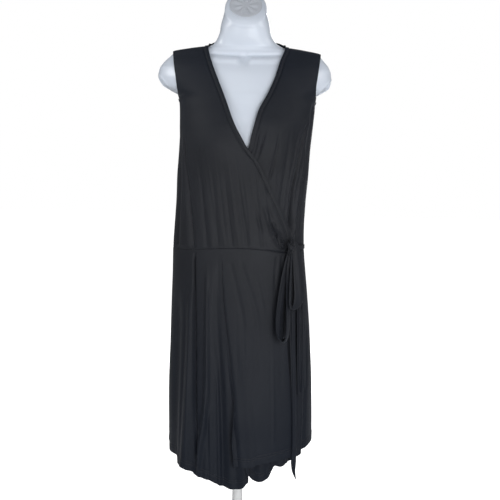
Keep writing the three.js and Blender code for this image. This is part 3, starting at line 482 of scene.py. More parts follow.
underBodiceFolds = [
    ([(880, 12), (906, 17.5), (963, 29.7), (990, 34)], 8, 8, -3.6, -2.8, 20, 30),
    ([(860, 14), (900, 24.5), (964, 43.4), (1000, 50)], 9, 8, -3.8, -2.6, 20, 40),
    ([(800, 44), (850, 55.8), (946, 73.7), (1000, 82)], 10, 10, -3.8, -2.4, 30, 60),
    ([(740, 76), (793, 85.3), (966, 103.3), (1010, 107)], 13, 13, -3.0, -1.6, 20, 90),
    ([(740, 90), (850, 101), (980, 117)], 12, 13, 2.4, 1.2, 20, 90),
    ([(715, 109), (746, 112.6), (851, 119), (898, 127.4), (967, 139.4), (1030, 150)],
     14, 10, -15, -8, 6, 80),
    ([(715, 99), (746, 102), (851, 108), (898, 116), (967, 128), (1030, 140)], 13, 11, 4, 2.5, 20, 80),
    ([(715, 118), (746, 122), (800, 127), (851, 133), (898, 141), (960, 150)], 11, 9, 7, 3.5, 4, 50),
    ([(715, 129), (760, 132), (860, 139), (900, 144)], 7, 6, -5, -3, 6, 30),
    ([(720, 133), (780, 136), (860, 143), (876, 145)], 8, 6, -4, -4, 10, 4),
    ([(878, 147), (960, 154), (1030, 159), (1058, 163)], 15, 17, -5, -5, 5, 14),
] + fineFolds(9, 18, 40, 128, (760, 850), (930, 1020), (18, 26), (4.5, 8), (0.45, 1.1))
backBodiceFolds = [
    ([(700, -118), (930, -126)], 30, 38, -7, -3, 1, 140),
    ([(700, -66), (900, -74)], 34, 40, -6, -2, 1, 130),
    ([(700, -16), (880, -20)], 30, 36, -5, -1.5, 1, 120),
    ([(700, 34), (890, 34)], 32, 38, -6, -2, 1, 120),
    ([(700, 82), (930, 86)], 30, 40, -6, -2.5, 1, 130),
    ([(700, 124), (900, 132)], 18, 22, -4, -1.5, 1, 100),
] + fineFolds(15, 34, -140, 140, (700, 780), (820, 985), (-3, 3), (6, 13), (0.4, 1.2))
outerSkirtFolds = [
    ([(140, -160), (264, -158), (504, -153), (640, -152)], 40, 34, -12, -6, 1, 110),
    ([(140, -126), (264, -121), (504, -117), (640, -119)], 42, 24, 15, 6, 1, 90),
    ([(140, -93), (210, -96), (377, -103), (542, -107), (692, -111), (704, -111)], 16, 9, -8, -8, 1, 20),
    ([(140, -112), (264, -117), (420, -117), (560, -118)], 10, 8, 2.5, 1, 1, 120),
    ([(140, -98), (244, -88), (364, -76), (610, -79), (680, -82)], 24, 14, 13, 5.5, 1, 90),
    ([(140, -34), (340, -42), (569, -56), (695, -59)], 66, 20, -15, -3.4, 1, 90),
    ([(140, 0), (216, -6.6), (382, -20), (569, -43), (695, -53), (702, -53)], 40, 18, -8, -2.2, 1, 60),
    ([(140, -62), (300, -60), (500, -66)], 22, 16, -4, -1, 1, 160),
    ([(150, 40), (420, 12), (560, -16)], 30, 26, 2.0, 0.6, 1, 120),
    ([(500, 14), (582, -1.8), (659, -21), (690, -30)], 22, 14, -1.8, -1.7, 70, 20),
    ([(470, 48), (578, 33), (659, 5.5), (690, -4)], 26, 14, -2.1, -1.9, 90, 20),
    ([(540, 66), (620, 50), (690, 24)], 20, 12, -1.5, -1.4, 60, 20),
    ([(600, 78), (650, 78), (698, 82)], 12, 8, -1.4, -2.2, 40, 6),
    ([(640, 96), (680, 92), (700, 94)], 9, 7, -1.6, -2.4, 26, 4),
    ([(230, 82), (337, 80.4), (555, 73.3), (600, 72)], 11, 9, 1.3, 0.9, 60, 60),
    ([(140, -67), (340, -73), (500, -82)], 12, 9, -3.5, -1, 1, 120),
    ([(140, -41), (340, -48), (500, -59)], 17, 12, 7, 2, 1, 100),
] + fineFolds(21, 9, -104, -40, (150, 330), (560, 690), (-6, 3), (9, 16), (0.5, 1.3))
outerSkirtFolds += fineFolds(23, 8, -20, 100, (300, 420), (560, 690), (8, 2), (12, 22), (0.3, 0.7))
underSkirtFolds = [
    ([(140, 60), (500, 52)], 44, 36, 6, 1, 1, 200),
    ([(140, 92), (520, 88)], 30, 26, -7, -1, 1, 200),
    ([(140, 117), (540, 112)], 30, 24, 5, 1, 1, 200),
    ([(140, 140), (330, 137), (640, 130)], 22, 14, -8, -2, 1, 120),
    ([(140, 158), (270, 160), (355, 157.6), (640, 148)], 16, 10, 5, 1.5, 1, 120),
    ([(140, 168), (436, 164), (600, 156)], 12, 9, -5, -1.5, 1, 140),
] + fineFolds(31, 10, 60, 160, (150, 300), (520, 680), (-4, 4), (7, 13), (0.4, 1.2))
backSkirtFolds = [
    ([(180, -148), (640, -140)], 34, 30, 8, 1, 1, 200),
    ([(180, -117), (660, -112)], 32, 26, -8, -1.5, 1, 160),
    ([(180, -82), (420, -78), (670, -76)], 40, 30, 9, 1.5, 1, 180),
    ([(180, -44), (430, -46), (660, -42)], 36, 28, -9, -1.5, 1, 150),
    ([(180, -8), (620, -8)], 42, 30, 8, 1, 1, 200),
    ([(180, 30), (400, 27), (660, 32)], 36, 26, -9, -1.5, 1, 160),
    ([(180, 70), (670, 66)], 42, 30, 9, 1.5, 1, 200),
    ([(180, 108), (660, 100)], 34, 26, -8, -1.5, 1, 170),
    ([(180, 143), (640, 130)], 34, 28, 7, 1, 1, 200),
] + fineFolds(41, 30, -150, 150, (200, 380), (540, 695), (-3, 3), (8, 18), (0.4, 1.6))


# Bodice
def spotOf(v, lowPart=0.6):  # the first part of a panel's rows lies below the armholes, the rest above
    low = np.interp(v, [0, 0.04, lowPart], [0, 0.018, 1])  # closer rows just over the waist seam
    high = 1 - (1 - np.clip((v - lowPart) / (1 - lowPart), 0, 1)) ** 1.9
    return low, high


def seamHeight(x, front):
    return waistSeam(x if front else cut["sideX"] + 0 * x)


def spotHeight(low, high, x, front, top):
    seam = seamHeight(x, front) + cut["seamGap"] / 2
    lower = mix(mix(seam, cut["waistHeight"], ease(low * 6)), cut["armholeBottom"], low)
    return np.where(high > 0, mix(cut["armholeBottom"], top(np.abs(x)), high), lower)


def seamFree(x, height, high):  # folds die away at the waist seam and the armhole
    return (0.15 + 0.85 * ease((height - waistSeam(x)) / cut["seamFade"])) * ease(1 - high * 4)


def seamDip(x, fromSeam):  # both cloths turn in at the waist seam, more so near the knot
    return -(0.55 + 1.6 * ease((x - 30) / 60)) * np.exp(-((fromSeam / 1.9) ** 2))


def bandDip(toEdge):  # and the cloth lies lower just inside the bound edge
    return -1.8 * np.exp(-(((toEdge / 1.12 - cut["bandWidth"] - 1.7) / 1.8) ** 2))


def frontPoint(section, angle, x, height, out):
    px, py, _, _ = sectionPoint(section, angle, bustOut(x, height) + out)
    px, py = offForm(px, py, height)
    return px, py - cut["seamGap"] / 2, height


def frontPlace(side, edge, outs):
    # one front from its side seam (u = 0) to its free edge (u = 1)
    base = dressSection(cut["armholeBottom"])
    baseEdge = angleOfX(base, edge(cut["armholeBottom"]))
    baseX = lambda share: sectionPoint(base, mix(side, baseEdge, share))[0]
    sign = -1 if side == 180 else 1
    armhole = armholeRight if side == 180 else armholeLeft

    def place(u, v):
        low, high = spotOf(v)
        x = edge(cut["waistHeight"]) + 0 * u
        fraction = (baseX(u) - baseX(0)) / (baseX(1) - baseX(0))
        for _ in range(6):
            height = spotHeight(low, high, x, True, shoulderLine)
            section = dressSection(height)
            lowAngle = mix(side, angleOfX(section, edge(height)), u)
            lowX = sectionPoint(section, lowAngle)[0]
            share = mix(fraction, u, ease(high * 1.6))
            highX = mix(sign * armhole(height), edge(height), share)
            x = np.where(high > 0, highX, lowX)
        angle = np.where(high > 0, angleOfX(section, x), lowAngle)
        return frontPoint(section, angle, x, height, outs(x, height, high, angle))
    return place


def outerOuts(x, height, high, angle):
    folds = foldOut(outerBodiceFolds, x, height) * seamFree(x, height, high)
    return folds + seamDip(x, height - waistSeam(x)) + bandDip(outerEdge(height) - x)


def underOuts(x, height, high, angle):
    seen = ease((x - outerEdge(height)) / 16)
    # hidden cloth gives way under the outer front
    hidden = np.minimum(foldOut(outerBodiceFolds, x, height), 0) * (1 - seen)
    inset = cut["wrapInset"] * ease(angle / 30) * ease((1015 - height) / 60)
    folds = (hidden + foldOut(underBodiceFolds, x, height) * seen) * seamFree(x, height, high)
    return folds - inset + seamDip(0 * x, height - waistSeam(x)) + bandDip(x - underEdge(height))


outerFrontPlace = frontPlace(180, outerEdge, outerOuts)
underFrontPlace = frontPlace(0, underEdge, underOuts)
mirrored = lambda place: lambda u, v: place(1 - u, v)

neckShare = cut["neckPoint"] / cut["shoulderTip"]
backCorner = 0.66  # the column, from the middle, that runs up to the corner of the neck


def backPlace(u, v):
    low, high = spotOf(v)
    away = 2 * u - 1  # -1 at the left side seam as seen from behind, which is the wearer's left
    lowShare = np.abs(away)
    highShare = np.where(lowShare < backCorner, lowShare / backCorner * neckShare,
                         mix(neckShare, 1, (lowShare - backCorner) / (1 - backCorner)))
    left = away < 0
    top = lambda x: np.where(x >= cut["neckPoint"] - 0.01, shoulderLine(x), backNeckLine(x))
    x = 0 * u
    for _ in range(8):
        height = spotHeight(low, high, x, False, top)
        section = dressSection(height)
        share = mix(lowShare, highShare, ease(high * 1.4))
        sideX = np.where(high > 0, np.where(left, armholeLeft(height), armholeRight(height)),
                         np.where(left, section["left"], section["right"]))
        x = share * sideX
    x = np.where(left, x, -x)
    out = foldOut(backBodiceFolds, x, height) * seamFree(x, height, high)
    out = out + seamDip(0 * x, height - seamHeight(x, False))
    px, py, _, _ = sectionPoint(section, angleOfX(section, x, False), out)
    px, py = offForm(px, py, height)
    return px, py + cut["seamGap"] / 2, height


for name, across, place, node in (
        ("bodiceFrontRight", 120, outerFrontPlace, "bodice_front_right"),
        ("bodiceFrontLeft", 120, mirrored(underFrontPlace), "bodice_front_left"),
        ("bodiceBack", 200, backPlace, "bodice_back")):
    finishPiece(wall(clothGrid(name, across, 130, place), cut["wall"]), jersey, "jersey", node)
print("bodice sewn")

# Skirt
outerSkirtEdge = curve([
    (225, 134), (302, 127.6), (400, 119), (500, 109.4), (597, 106), (655, 107), (700, 116), (705, 118),
])
pleatStart = curve([
    (150, 23), (205, 22), (260, 8), (320, -6), (370, -18), (430, -27), (500, -36), (569, -46),
    (710, -56),
])
pleatTurn = curve([(150, 178), (260, 176), (320, 140), (370, 70), (430, 22), (520, 5), (700, 0)])
pleatFlat = curve([(150, 33), (205, 30), (260, 20), (320, 9), (370, 3), (430, 1.5), (710, 1.5)])
# how much cloth is in each turn of the fold
pleatBend = curve([(150, 9), (260, 8), (320, 6), (370, 4), (430, 3), (710, 3)])
outerHem = curve([
    (-175, 205), (-158, 206), (-148, 193), (-128, 194), (-108, 186), (-87, 176), (-66, 169),
    (-42, 158), (-13, 150), (2, 150.5), (13, 155), (22, 166),
])
overlapHem = curve([(-12, 209), (29, 207), (45, 213), (89, 219), (134, 225)])
underHem = curve([
    (-112, 200), (0, 186), (25, 179), (37, 168), (51, 164), (75, 170), (91, 188), (97, 198),
    (109, 196), (126, 202), (140, 203), (150, 209), (160, 217), (170, 226), (181, 236),
])
backHem = curve([(-174, 221), (-110, 212), (-40, 206), (40, 206), (110, 213), (150, 222), (181, 236)])
underInset = curve([(150, 22), (230, 20), (400, 13), (600, 6.5), (690, 6.2), (710, 6.2)])
underSkirtEdge = curve([(180, -92), (700, -112)])
hemLevels = {"outer": 185, "overlap": 220, "under": 200, "back": 215}  # heights where each hem's x is read off

# The turned hem, its two rows of stitches and the share of a skirt's rows that lie over it
hemTurn = {"deep": 21, "proud": 0.6, "rows": (15.5, 20.5), "dip": 0.75, "pucker": 0.35, "share": 0.16}


def hemOut(fromHem, x):
    step = hemTurn["proud"] * ease((hemTurn["deep"] + 1.5 - fromHem) / 3)
    pucker = hemTurn["pucker"] * np.sin(0.85 * x + 1.5 * np.sin(0.13 * x))
    pucker = pucker * np.exp(-(((fromHem - 18) / 6) ** 2))
    dips = sum(hemTurn["dip"] * np.exp(-(((fromHem - row) / 1.2) ** 2)) for row in hemTurn["rows"])
    return step + pucker - dips


def skirtPoint(angle, height, front, folds, inset=0, hem=None):
    section = dressSection(height)
    x = sectionPoint(section, angle)[0]
    fade = 0.15 + 0.85 * ease((waistSeam(x) - height) / cut["seamFade"])
    turned = 0 if hem is None else hemOut(height - hem, x)
    below = seamHeight(x, front) - height
    seam = seamDip(x if front else 0 * x, below)
    tuck = ease((1.4 - below) / 1.2)  # the top edge is turned in behind the bodice
    out = foldOut(folds, x, height) * fade - inset + turned + seam - cut["tuckIn"] * tuck
    px, py, _, _ = sectionPoint(section, angle, out)
    px, py = offForm(px, py, height)
    return px, py + (-1 if front else 1) * cut["seamGap"] / 2, height + cut["tuckUp"] * tuck


def pleatPath(height, share):  # along the cloth below and out from it, at a share of the turned fold
    turn, flat = np.radians(np.maximum(pleatTurn(height), 0.05)), pleatFlat(height)
    bent = pleatBend(height)
    s = share * (2 * bent + flat)
    first, middle = np.minimum(s / bent, 1), np.clip(s - bent, 0, flat)
    rest = np.clip((2 * bent + flat - s) / bent, 0, 1)
    radius = bent / turn
    along = radius * (np.sin(turn * first) + np.sin(turn) - np.sin(turn * rest)) + np.cos(turn) * middle
    out = radius * (1 - np.cos(turn * first) + np.cos(turn * rest) - np.cos(turn)) + np.sin(turn) * middle
    return along, out


def hang(hem, waist, v):
    # closer rows over the hem and under the seam
    down = np.interp(v, [0, hemTurn["share"], 0.94, 1], [0, 0.05, 0.988, 1])
    return mix(hem, waist - cut["seamGap"] / 2, down)


def outerSkirtPlace(u, v):
    foldFrom, foldTo = 0.56, 0.74  # the shares of the columns between which the cloth turns
    first, turned = np.clip(u / foldFrom, 0, 1), np.clip((u - foldFrom) / (foldTo - foldFrom), 0, 1)
    last = np.clip((u - foldTo) / (1 - foldTo), 0, 1)
    sectionAt = lambda height: dressSection(height + 0 * u)
    startAngle = lambda height: angleOfX(sectionAt(height), pleatStart(height + 0 * u))
    xBefore = lambda height: sectionPoint(sectionAt(height), mix(180, startAngle(height), first))[0]
    outerLevel, overlapLevel, waistLevel = hemLevels["outer"], hemLevels["overlap"], cut["waistHeight"]
    startHem = outerHem(sectionPoint(sectionAt(outerLevel), startAngle(outerLevel))[0])

    def angleAfter(height):
        section = sectionAt(height)
        fromAngle = angleOfX(section, pleatStart(height + 0 * u) + pleatPath(height + 0 * u, 1 + 0 * u)[0])
        return mix(fromAngle, angleOfX(section, outerSkirtEdge(height + 0 * u)), last)
    xAfter = lambda height: sectionPoint(sectionAt(height), angleAfter(height))[0]
    hem = np.where(u <= foldFrom, outerHem(xBefore(outerLevel)),
                   np.where(u < foldTo, mix(startHem, overlapHem(-12), ease(turned * 3)),
                            overlapHem(xAfter(overlapLevel))))
    waist = np.where(u <= foldTo, waistSeam(xBefore(waistLevel)), waistSeam(xAfter(waistLevel)))
    height = hang(hem, waist, v)
    ax, ay, _ = skirtPoint(mix(180, startAngle(height), first), height, True, outerSkirtFolds, 0, hem)
    _, _, nx, ny = sectionPoint(dressSection(height), startAngle(height))
    along, out = pleatPath(height, turned)
    bx, by = ax - ny * along + nx * out, ay + nx * along + ny * out
    lift = pleatPath(height, 1 + 0 * u)[1] * (1 - 0.8 * ease(last * 1.1))
    cx, cy, _ = skirtPoint(angleAfter(height), height, True, outerSkirtFolds, -lift, hem)
    x = np.where(u <= foldFrom, ax, np.where(u < foldTo, bx, cx))
    y = np.where(u <= foldFrom, ay, np.where(u < foldTo, by, cy))
    return x, y, height


def underSkirtPlace(u, v):
    sectionAt = lambda height: dressSection(height + 0 * u)
    angleAt = lambda height: mix(angleOfX(sectionAt(height), underSkirtEdge(height + 0 * u)), 0, u)
    xAt = lambda height: sectionPoint(sectionAt(height), angleAt(height))[0]
    hem = underHem(xAt(hemLevels["under"]))
    height = hang(hem, waistSeam(xAt(cut["waistHeight"])), v)
    angle = angleAt(height)
    return skirtPoint(angle, height, True, underSkirtFolds, underInset(height) * ease(angle / 38), hem)


def backSkirtPlace(u, v):
    angle = mix(360, 180, u)  # from the wearer's left round the back to the right
    hem = backHem(sectionPoint(dressSection(hemLevels["back"] + 0 * u), angle)[0])
    height = hang(hem, seamHeight(0 * u, False), v)
    return skirtPoint(angle, height, False, backSkirtFolds, 0, hem)


for name, across, place, node in (
        ("skirtFrontRight", 220, outerSkirtPlace, "skirt_front_right"),
        ("skirtFrontLeft", 180, underSkirtPlace, "skirt_front_left"),
        ("skirtBack", 220, backSkirtPlace, "skirt_back")):
    finishPiece(wall(clothGrid(name, across, 110, place), cut["wall"]), jersey, "jersey", node)
print("skirt hung")


# Stitches and bound edges
def liftGrid(place, lift, eps=0.004):
    # the same cloth lifted off along its own normal
    def lifted(u, v):
        at = lambda u, v: np.stack(place(np.clip(u, 0, 1), np.clip(v, 0, 1)), axis=1)
        here = at(u, v)
        normal = np.cross(at(u + eps, v) - at(u - eps, v), at(u, v + eps) - at(u, v - eps))
        normal /= np.maximum(np.linalg.norm(normal, axis=1), 1e-9)[:, None]
        height = lift(u, v) if callable(lift) else lift
        moved = here + normal * np.reshape(height, (-1, 1))
        return moved[:, 0], moved[:, 1], moved[:, 2]
    return lifted


stitch = {"length": 2.1, "every": 3.1, "wide": 0.5, "thick": 0.4}


def addStitches(name, rows):
    # rows of (place, path), where path gives u and v of the cloth for each share of the row's length
    bm = bmesh.new()
    for place, path in rows:
        share = np.linspace(0, 1, 700)
        under = np.stack(place(*path(share)), axis=1)
        over = np.stack(liftGrid(place, 0.2)(*path(share)), axis=1)
        run = np.concatenate([[0], np.cumsum(np.linalg.norm(np.diff(under, axis=0), axis=1))])
        for start in np.arange(0.5, run[-1] - stitch["length"], stitch["every"]):
            end, middle = start + stitch["length"], start + stitch["length"] / 2
            a, b, away = (np.array([np.interp(at, run, grid[:, k]) for k in range(3)]) for at, grid in (
                (start, over), (end, over), (middle, over - under)))
            along, up = Vector(b - a), Vector(away).normalized()
            if along.length < 0.5 or up.length < 0.5:
                continue
            side = along.normalized().cross(up).normalized()
            turn = Matrix((along.normalized(), side, up)).transposed().to_4x4()
            size = Matrix.Diagonal((along.length, stitch["wide"], stitch["thick"], 1 / metre)) * metre
            at = Matrix.Translation(Vector(a + b) / 2 * metre)
            bmesh.ops.create_cube(bm, size=1, matrix=at @ turn @ size)
    return finishPiece(linkMesh(name, bm), thread, None)


def hemRows(place, first=0.004, last=0.996):
    def path(fromHem):
        def at(share):
            u = mix(first, last, share)
            low, high = place(u, 0 * u)[2], place(u, hemTurn["share"] + 0 * u)[2]
            return u, hemTurn["share"] * fromHem / np.maximum(high - low, 1)
        return at
    return [(place, path(row)) for row in hemTurn["rows"]]


addStitches("hemStitchesRight", hemRows(outerSkirtPlace))
addStitches("hemStitchesLeft", hemRows(underSkirtPlace, 0.02))
addStitches("hemStitchesBack", hemRows(backSkirtPlace))


def neckBandPlace(side, edge, outs):
    # over the free edge of a front (u = 1), from the waist seam to the shoulder
    def place(u, v):
        low, high = spotOf(mix(0.004, 1, v))
        x = edge(cut["waistHeight"]) + 0 * u
        towards = 1 if side == 180 else -1
        for _ in range(6):
            height = spotHeight(low, high, x, True, shoulderLine)
            x = edge(height) - towards * cut["bandWidth"] * 1.12 * (1 - u)
        section = dressSection(height)
        angle = angleOfX(section, x)
        return frontPoint(section, angle, x, height, outs(x, height, high, angle))
    return place


bandLift = cut["bandGap"] + cut["bandWall"]
rounded = lambda u, v: bandLift - 0.45 * (np.abs(2 * u - 1) ** 4)  # softer at both edges of the band


def backNeckPlace(u, v):
    # u runs along the neck from the wearer's left corner to the right one, v down to up across the band
    x = mix(cut["neckPoint"], -cut["neckPoint"], u) * 0.999
    edgeHeight = backNeckLine(np.abs(x))
    section = dressSection(edgeHeight)
    px, py, _, _ = sectionPoint(section, angleOfX(section, x, False))
    corner = ease((np.abs(x) - 70) / 22)
    inward = cut["bandWidth"] * (1 - v)
    height = edgeHeight - inward * (1 - 0.75 * corner)
    wide = px + np.sign(px) * inward * corner * 0.9
    lower = dressSection(height)
    lx, ly, _, _ = sectionPoint(lower, angleOfX(lower, wide, False))
    return lx, ly + cut["seamGap"] / 2, height


rightNeck = liftGrid(neckBandPlace(180, outerEdge, outerOuts), rounded)
leftNeck = liftGrid(mirrored(neckBandPlace(0, underEdge, underOuts)), rounded)
backNeck = liftGrid(backNeckPlace, lambda u, v: rounded(v, u))
for name, band, across, up, node in (
        ("neckBandRight", rightNeck, 6, 260, "neck_band_right"), ("neckBandLeft", leftNeck, 6, 260, "neck_band_left"),
        ("neckBandBack", backNeck, 120, 6, "neck_band_back")):
    finishPiece(wall(clothGrid(name, across, up, band), cut["bandWall"]), jersey, "jersey", node)

addStitches("neckStitchesRight", [(rightNeck, lambda share: (0.22 + 0 * share, mix(0.01, 0.985, share)))])
addStitches("neckStitchesLeft", [(leftNeck, lambda share: (0.78 + 0 * share, mix(0.35, 0.985, share)))])
addStitches("neckStitchesBack", [(backNeck, lambda share: (mix(0.03, 0.97, share), 0.25 + 0 * share))])

armholeAim = curve([(1062, 90), (1066, 66), (1074, 42), (1087, 18), (1104, 0), (1174, 0)])


def armholePlace(toLeft):
    # u runs down the front, under the arm and up the back; v = 1 is the edge of the hole
    edgeAt, sign = (armholeLeft, 1) if toLeft else (armholeRight, -1)

    def place(u, v):
        front = u < 0.5
        high = np.abs(1 - 2 * u) ** 1.35
        height = mix(cut["armholeBottom"], cut["tipHeight"], high)
        aim = np.radians(armholeAim(height))
        x = edgeAt(height) - cut["bandWidth"] * np.cos(aim) * (1 - v)
        z = mix(cut["armholeBottom"], shoulderLine(x), high) - cut["bandWidth"] * np.sin(aim) * (1 - v)
        section = dressSection(z)
        half = section["left"] if toLeft else section["right"]
        share = (1 - np.clip(x / half, 0, 1) ** section["square"]) ** (1 / section["square"])
        deep = np.where(front, section["front"], section["back"])
        angle = np.degrees(np.arctan2(np.where(front, 1, -1) * deep * share, sign * x))
        px, py, _, _ = sectionPoint(section, angle)
        return px, py + np.where(front, -1, 1) * cut["seamGap"] / 2, z
    return place


for side, toLeft in (("Right", False), ("Left", True)):
    place = mirrored(armholePlace(True)) if toLeft else armholePlace(False)  # so that the faces look outwards
    lifted = liftGrid(place, lambda u, v: 1.0 + rounded(v, u))
    band = wall(clothGrid("armholeBand" + side, 220, 6, lifted, closeSeam=True), cut["bandWall"])
    finishPiece(band, jersey, "jersey", "armhole_band_" + side.lower())
    path = lambda share: (mix(0.01, 0.99, share), 0.25 + 0 * share)
    addStitches("armholeStitches" + side, [(lifted, path)])
print("edges bound")

# Tie
knot = {"x": 113, "height": 717, "wide": 15, "tall": 42, "deep": 27, "off": 4}
knotY = float(dressY(np.array([knot["x"]], float), np.array([knot["height"]], float))[0]) - knot["off"] - knot["deep"] / 2
# Each strip's stops along its middle: height, x, width across, how far it hangs off the skirt, and how far its face
# is turned to the wearer's left, in degrees
tieStrips = {
    "tieLoopLong": {"node": "tie_loop_long", "ripples": 1.5, "ripple": 0.6, "curl": 3.4, "slant": 0, "sag": 5, "stops": [
        (703, 109, 8, 12, 30), (690, 106, 13, 13, 40), (665, 102, 20, 15, 46), (630, 97, 26, 17, 50),
        (590, 92.5, 30, 18, 52), (550, 90, 32, 19, 54), (524, 90, 33, 21, 62), (510, 93, 34, 23, 74),
        (505, 98, 34, 26, 82), (509, 104, 34, 27, 84), (522, 108, 33, 27, 80), (555, 109, 30, 26, 76),
        (595, 108, 26, 24, 72), (635, 107, 20, 22, 66), (670, 108, 14, 20, 56), (690, 110, 10, 19, 44),
        (703, 111, 8, 17, 34)]},
    "tieLoopShort": {"node": "tie_loop_short", "ripples": 1.5, "ripple": 0.5, "curl": 2.0, "slant": 0, "sag": 4, "stops": [
        (703, 115, 8, 22, 66), (685, 114, 13, 24, 74), (660, 113, 19, 26, 80), (630, 112, 24, 27, 82),
        (600, 112, 26, 28, 82), (586, 114, 27, 31, 80), (579, 119, 27, 32, 70), (580, 126, 27, 32, 52),
        (590, 132, 26, 32, 38), (610, 134, 25, 32, 30), (635, 133, 25, 32, 26), (660, 131, 24, 31, 24),
        (690, 128, 21, 29, 26), (712, 126, 18, 26, 30), (726, 123, 13, 22, 30), (731, 119, 9, 18, 30)]},
    "tieTailLong": {"node": "tie_tail_long", "ripples": 1.5, "ripple": 0.8, "curl": 2.5, "slant": 0, "sag": 0, "stops": [
        (703, 110, 7, 9.5, 0), (670, 113, 13, 8, 4), (630, 116, 16, 7.5, 8), (578, 118, 15, 8, 10),
        (520, 121, 13, 8, 14), (450, 125, 12, 8, 18), (372, 128.5, 11, 9, 18), (300, 131, 10, 10, 14),
        (240, 132, 11, 10, 8), (216, 131.5, 12, 10, 6), (196, 132, 9, 10, 4), (182, 134.5, 5, 10, 4),
        (171, 138, 1.6, 10, 4)]},
    "tieTailShort": {"node": "tie_tail_short", "ripples": 2.2, "ripple": 2.2, "curl": 1.5, "slant": 17, "sag": 0, "stops": [
        (703, 118, 6, 14, 0), (690, 121, 9, 9, 10), (670, 126, 13, 5, 18), (630, 134, 17, 4, 24),
        (579, 140, 20, 4, 26), (520, 143, 22, 4, 26), (450, 145, 23, 4, 24), (402, 146.5, 24, 4, 20),
        (366, 147, 24, 4.5, 18)]},
}


def stripPlace(shape):
    rows = np.array(shape["stops"], float)
    steps = np.arange(len(rows))
    height, x, width, off, face = (curve(list(zip(steps, rows[:, k]))) for k in range(5))
    last = len(rows) - 1

    def place(u, v):
        s = v * last
        z, middle, turned = height(s), x(s), np.radians(face(s))
        across = (u - 0.5) * width(s)
        end = np.clip((s - last + 1), 0, 1)
        edges = 1 - (2 * u - 1) ** 4
        bow = shape["curl"] * (1 - (2 * u - 1) ** 2)
        bow = bow + shape["ripple"] * np.sin(2 * np.pi * shape["ripples"] * u + 0.8 * s) * edges
        px = middle + across * np.cos(turned) + bow * np.sin(turned)
        back = dressY(middle, z) - off(s) + across * np.sin(turned) - bow * np.cos(turned)
        lowest = np.exp(-(((z - rows[:, 0].min()) / 14) ** 2))  # the cloth's middle sags at the foot of a loop
        return px, back, z + shape["slant"] * u * end - shape["sag"] * lowest * (1 - (2 * u - 1) ** 2)
    return place


for name, shape in tieStrips.items():
    strip = wall(clothGrid(name, 24, 170, stripPlace(shape)), 0.9, 0)
    finishPiece(strip, jersey, "jersey", shape["node"])


def knotPlace(u, v):
    # a lump of cloth drawn through itself: u runs round it from behind, v from its foot to its head
    turn = 2 * np.pi * u
    rise = np.sin(np.pi * (v - 0.5))
    girth = np.cos(np.pi * (v - 0.5)) ** 0.55
    pull = 1 + 0.08 * np.sin(3 * turn + 5 * v) + 0.2 * np.cos(9 * turn + 0.9 * np.sin(3 * v))
    waist = 1 - 0.16 * np.exp(-(((v - 0.52) / 0.1) ** 2))
    x = knot["x"] + np.sin(turn) * girth * pull * waist * 0.42 * knot["wide"] + 2.0 * rise
    y = knotY + np.cos(turn) * girth * pull * waist * knot["deep"] / 2
    return x, y, knot["height"] + rise * knot["tall"] / 2


finishPiece(clothGrid("tieKnot", 96, 64, knotPlace, closeSeam=True), jersey, "jersey", "tie_knot")


def wrapPlace(u, v):
    # the turn of the tie that holds the knot, a band round its middle
    turn = 2 * np.pi * u
    x = knot["x"] + np.sin(turn) * (0.42 * knot["wide"] + 0.6) + 1.5 * (v - 0.5)
    y = knotY + np.cos(turn) * (knot["deep"] / 2 + 0.4)
    bulge = 0.9 * np.sin(np.pi * v) + 0.4 * np.sin(4 * np.pi * v + 2 * turn)
    return (x + np.sin(turn) * bulge, y + np.cos(turn) * bulge,
            knot["height"] + 4 + 9 * (v - 0.5) - 5 * np.sin(turn) + 2 * np.cos(turn))


finishPiece(wall(clothGrid("tieKnotTurn", 90, 16, wrapPlace, closeSeam=True), 0.9), jersey, "jersey")


sideTie = {"from": 2, "to": 34, "wallOut": 1.25, "fold": 0.2, "wideAtSeam": 10, "wideAtKnot": 11, "below": 3}


def sideTiePlace(u, v):
    # along from the side seam (0) to the knot (1); the strip's grid runs from left to right, so along = 1 - u
    along, share = 1 - u, v - 0.5
    height = knot["height"] - sideTie["below"] + share * mix(sideTie["wideAtSeam"], sideTie["wideAtKnot"], along)
    out = sideTie["wallOut"] + sideTie["fold"] * np.cos(np.pi * share) ** 2 + 0.2 * np.sin(14 * share + 4 * along)
    px, py, _, _ = sectionPoint(dressSection(height), mix(sideTie["from"], sideTie["to"], along), out)
    toKnot = ease((along - 0.72) / 0.28)
    endX = knot["x"] + knot["wide"] / 2 + 0.4 - 1.5
    return mix(px, endX, toKnot), mix(py - cut["seamGap"] / 2, knotY + 5, toKnot), height


finishPiece(wall(clothGrid("tieSide", 90, 20, sideTiePlace), 1.0), jersey, "jersey", "tie_side")
print("tie knotted")

# Dress form and stand
neckCut = {"height": 1287, "slope": 0.98, "half": 50, "front": 43, "back": 45, "mid": -3, "lean": -5, "rim": 11,
           "square": 2.35, "fuller": 1}  # the neck is fuller below its cut by so much, and flat in front
collar = {"middle": -6, "height": 1151, "ridge": 8.5, "ridgeTall": 10, "groove": 9, "grooveTall": 5, "above": 11}


def collarOut(x, height):  # the two collarbones, the groove over them and the hollow between
    away = np.abs(x - collar["middle"])
    line = collar["height"] + 0.04 * away
    spread = ease((away - 5) / 14) * ease((150 - away) / 60)
    ridge = collar["ridge"] * np.exp(-(((height - line) / collar["ridgeTall"]) ** 2)) * spread
    cut = collar["groove"] * np.exp(-(((height - line - collar["above"]) / collar["grooveTall"]) ** 2))
    cut = cut * (0.35 + 0.65 * spread)
    hollow = 6.0 * np.exp(-((away / 8) ** 2)) * np.exp(-(((height - line - 4) / 13) ** 2))
    return ridge - cut - hollow


stubEdges = {"right": ((-207, 1112), (-170, 1070)), "left": ((202, 1112), (166, 1070)), "proud": 2.0, "sunk": 5.0}


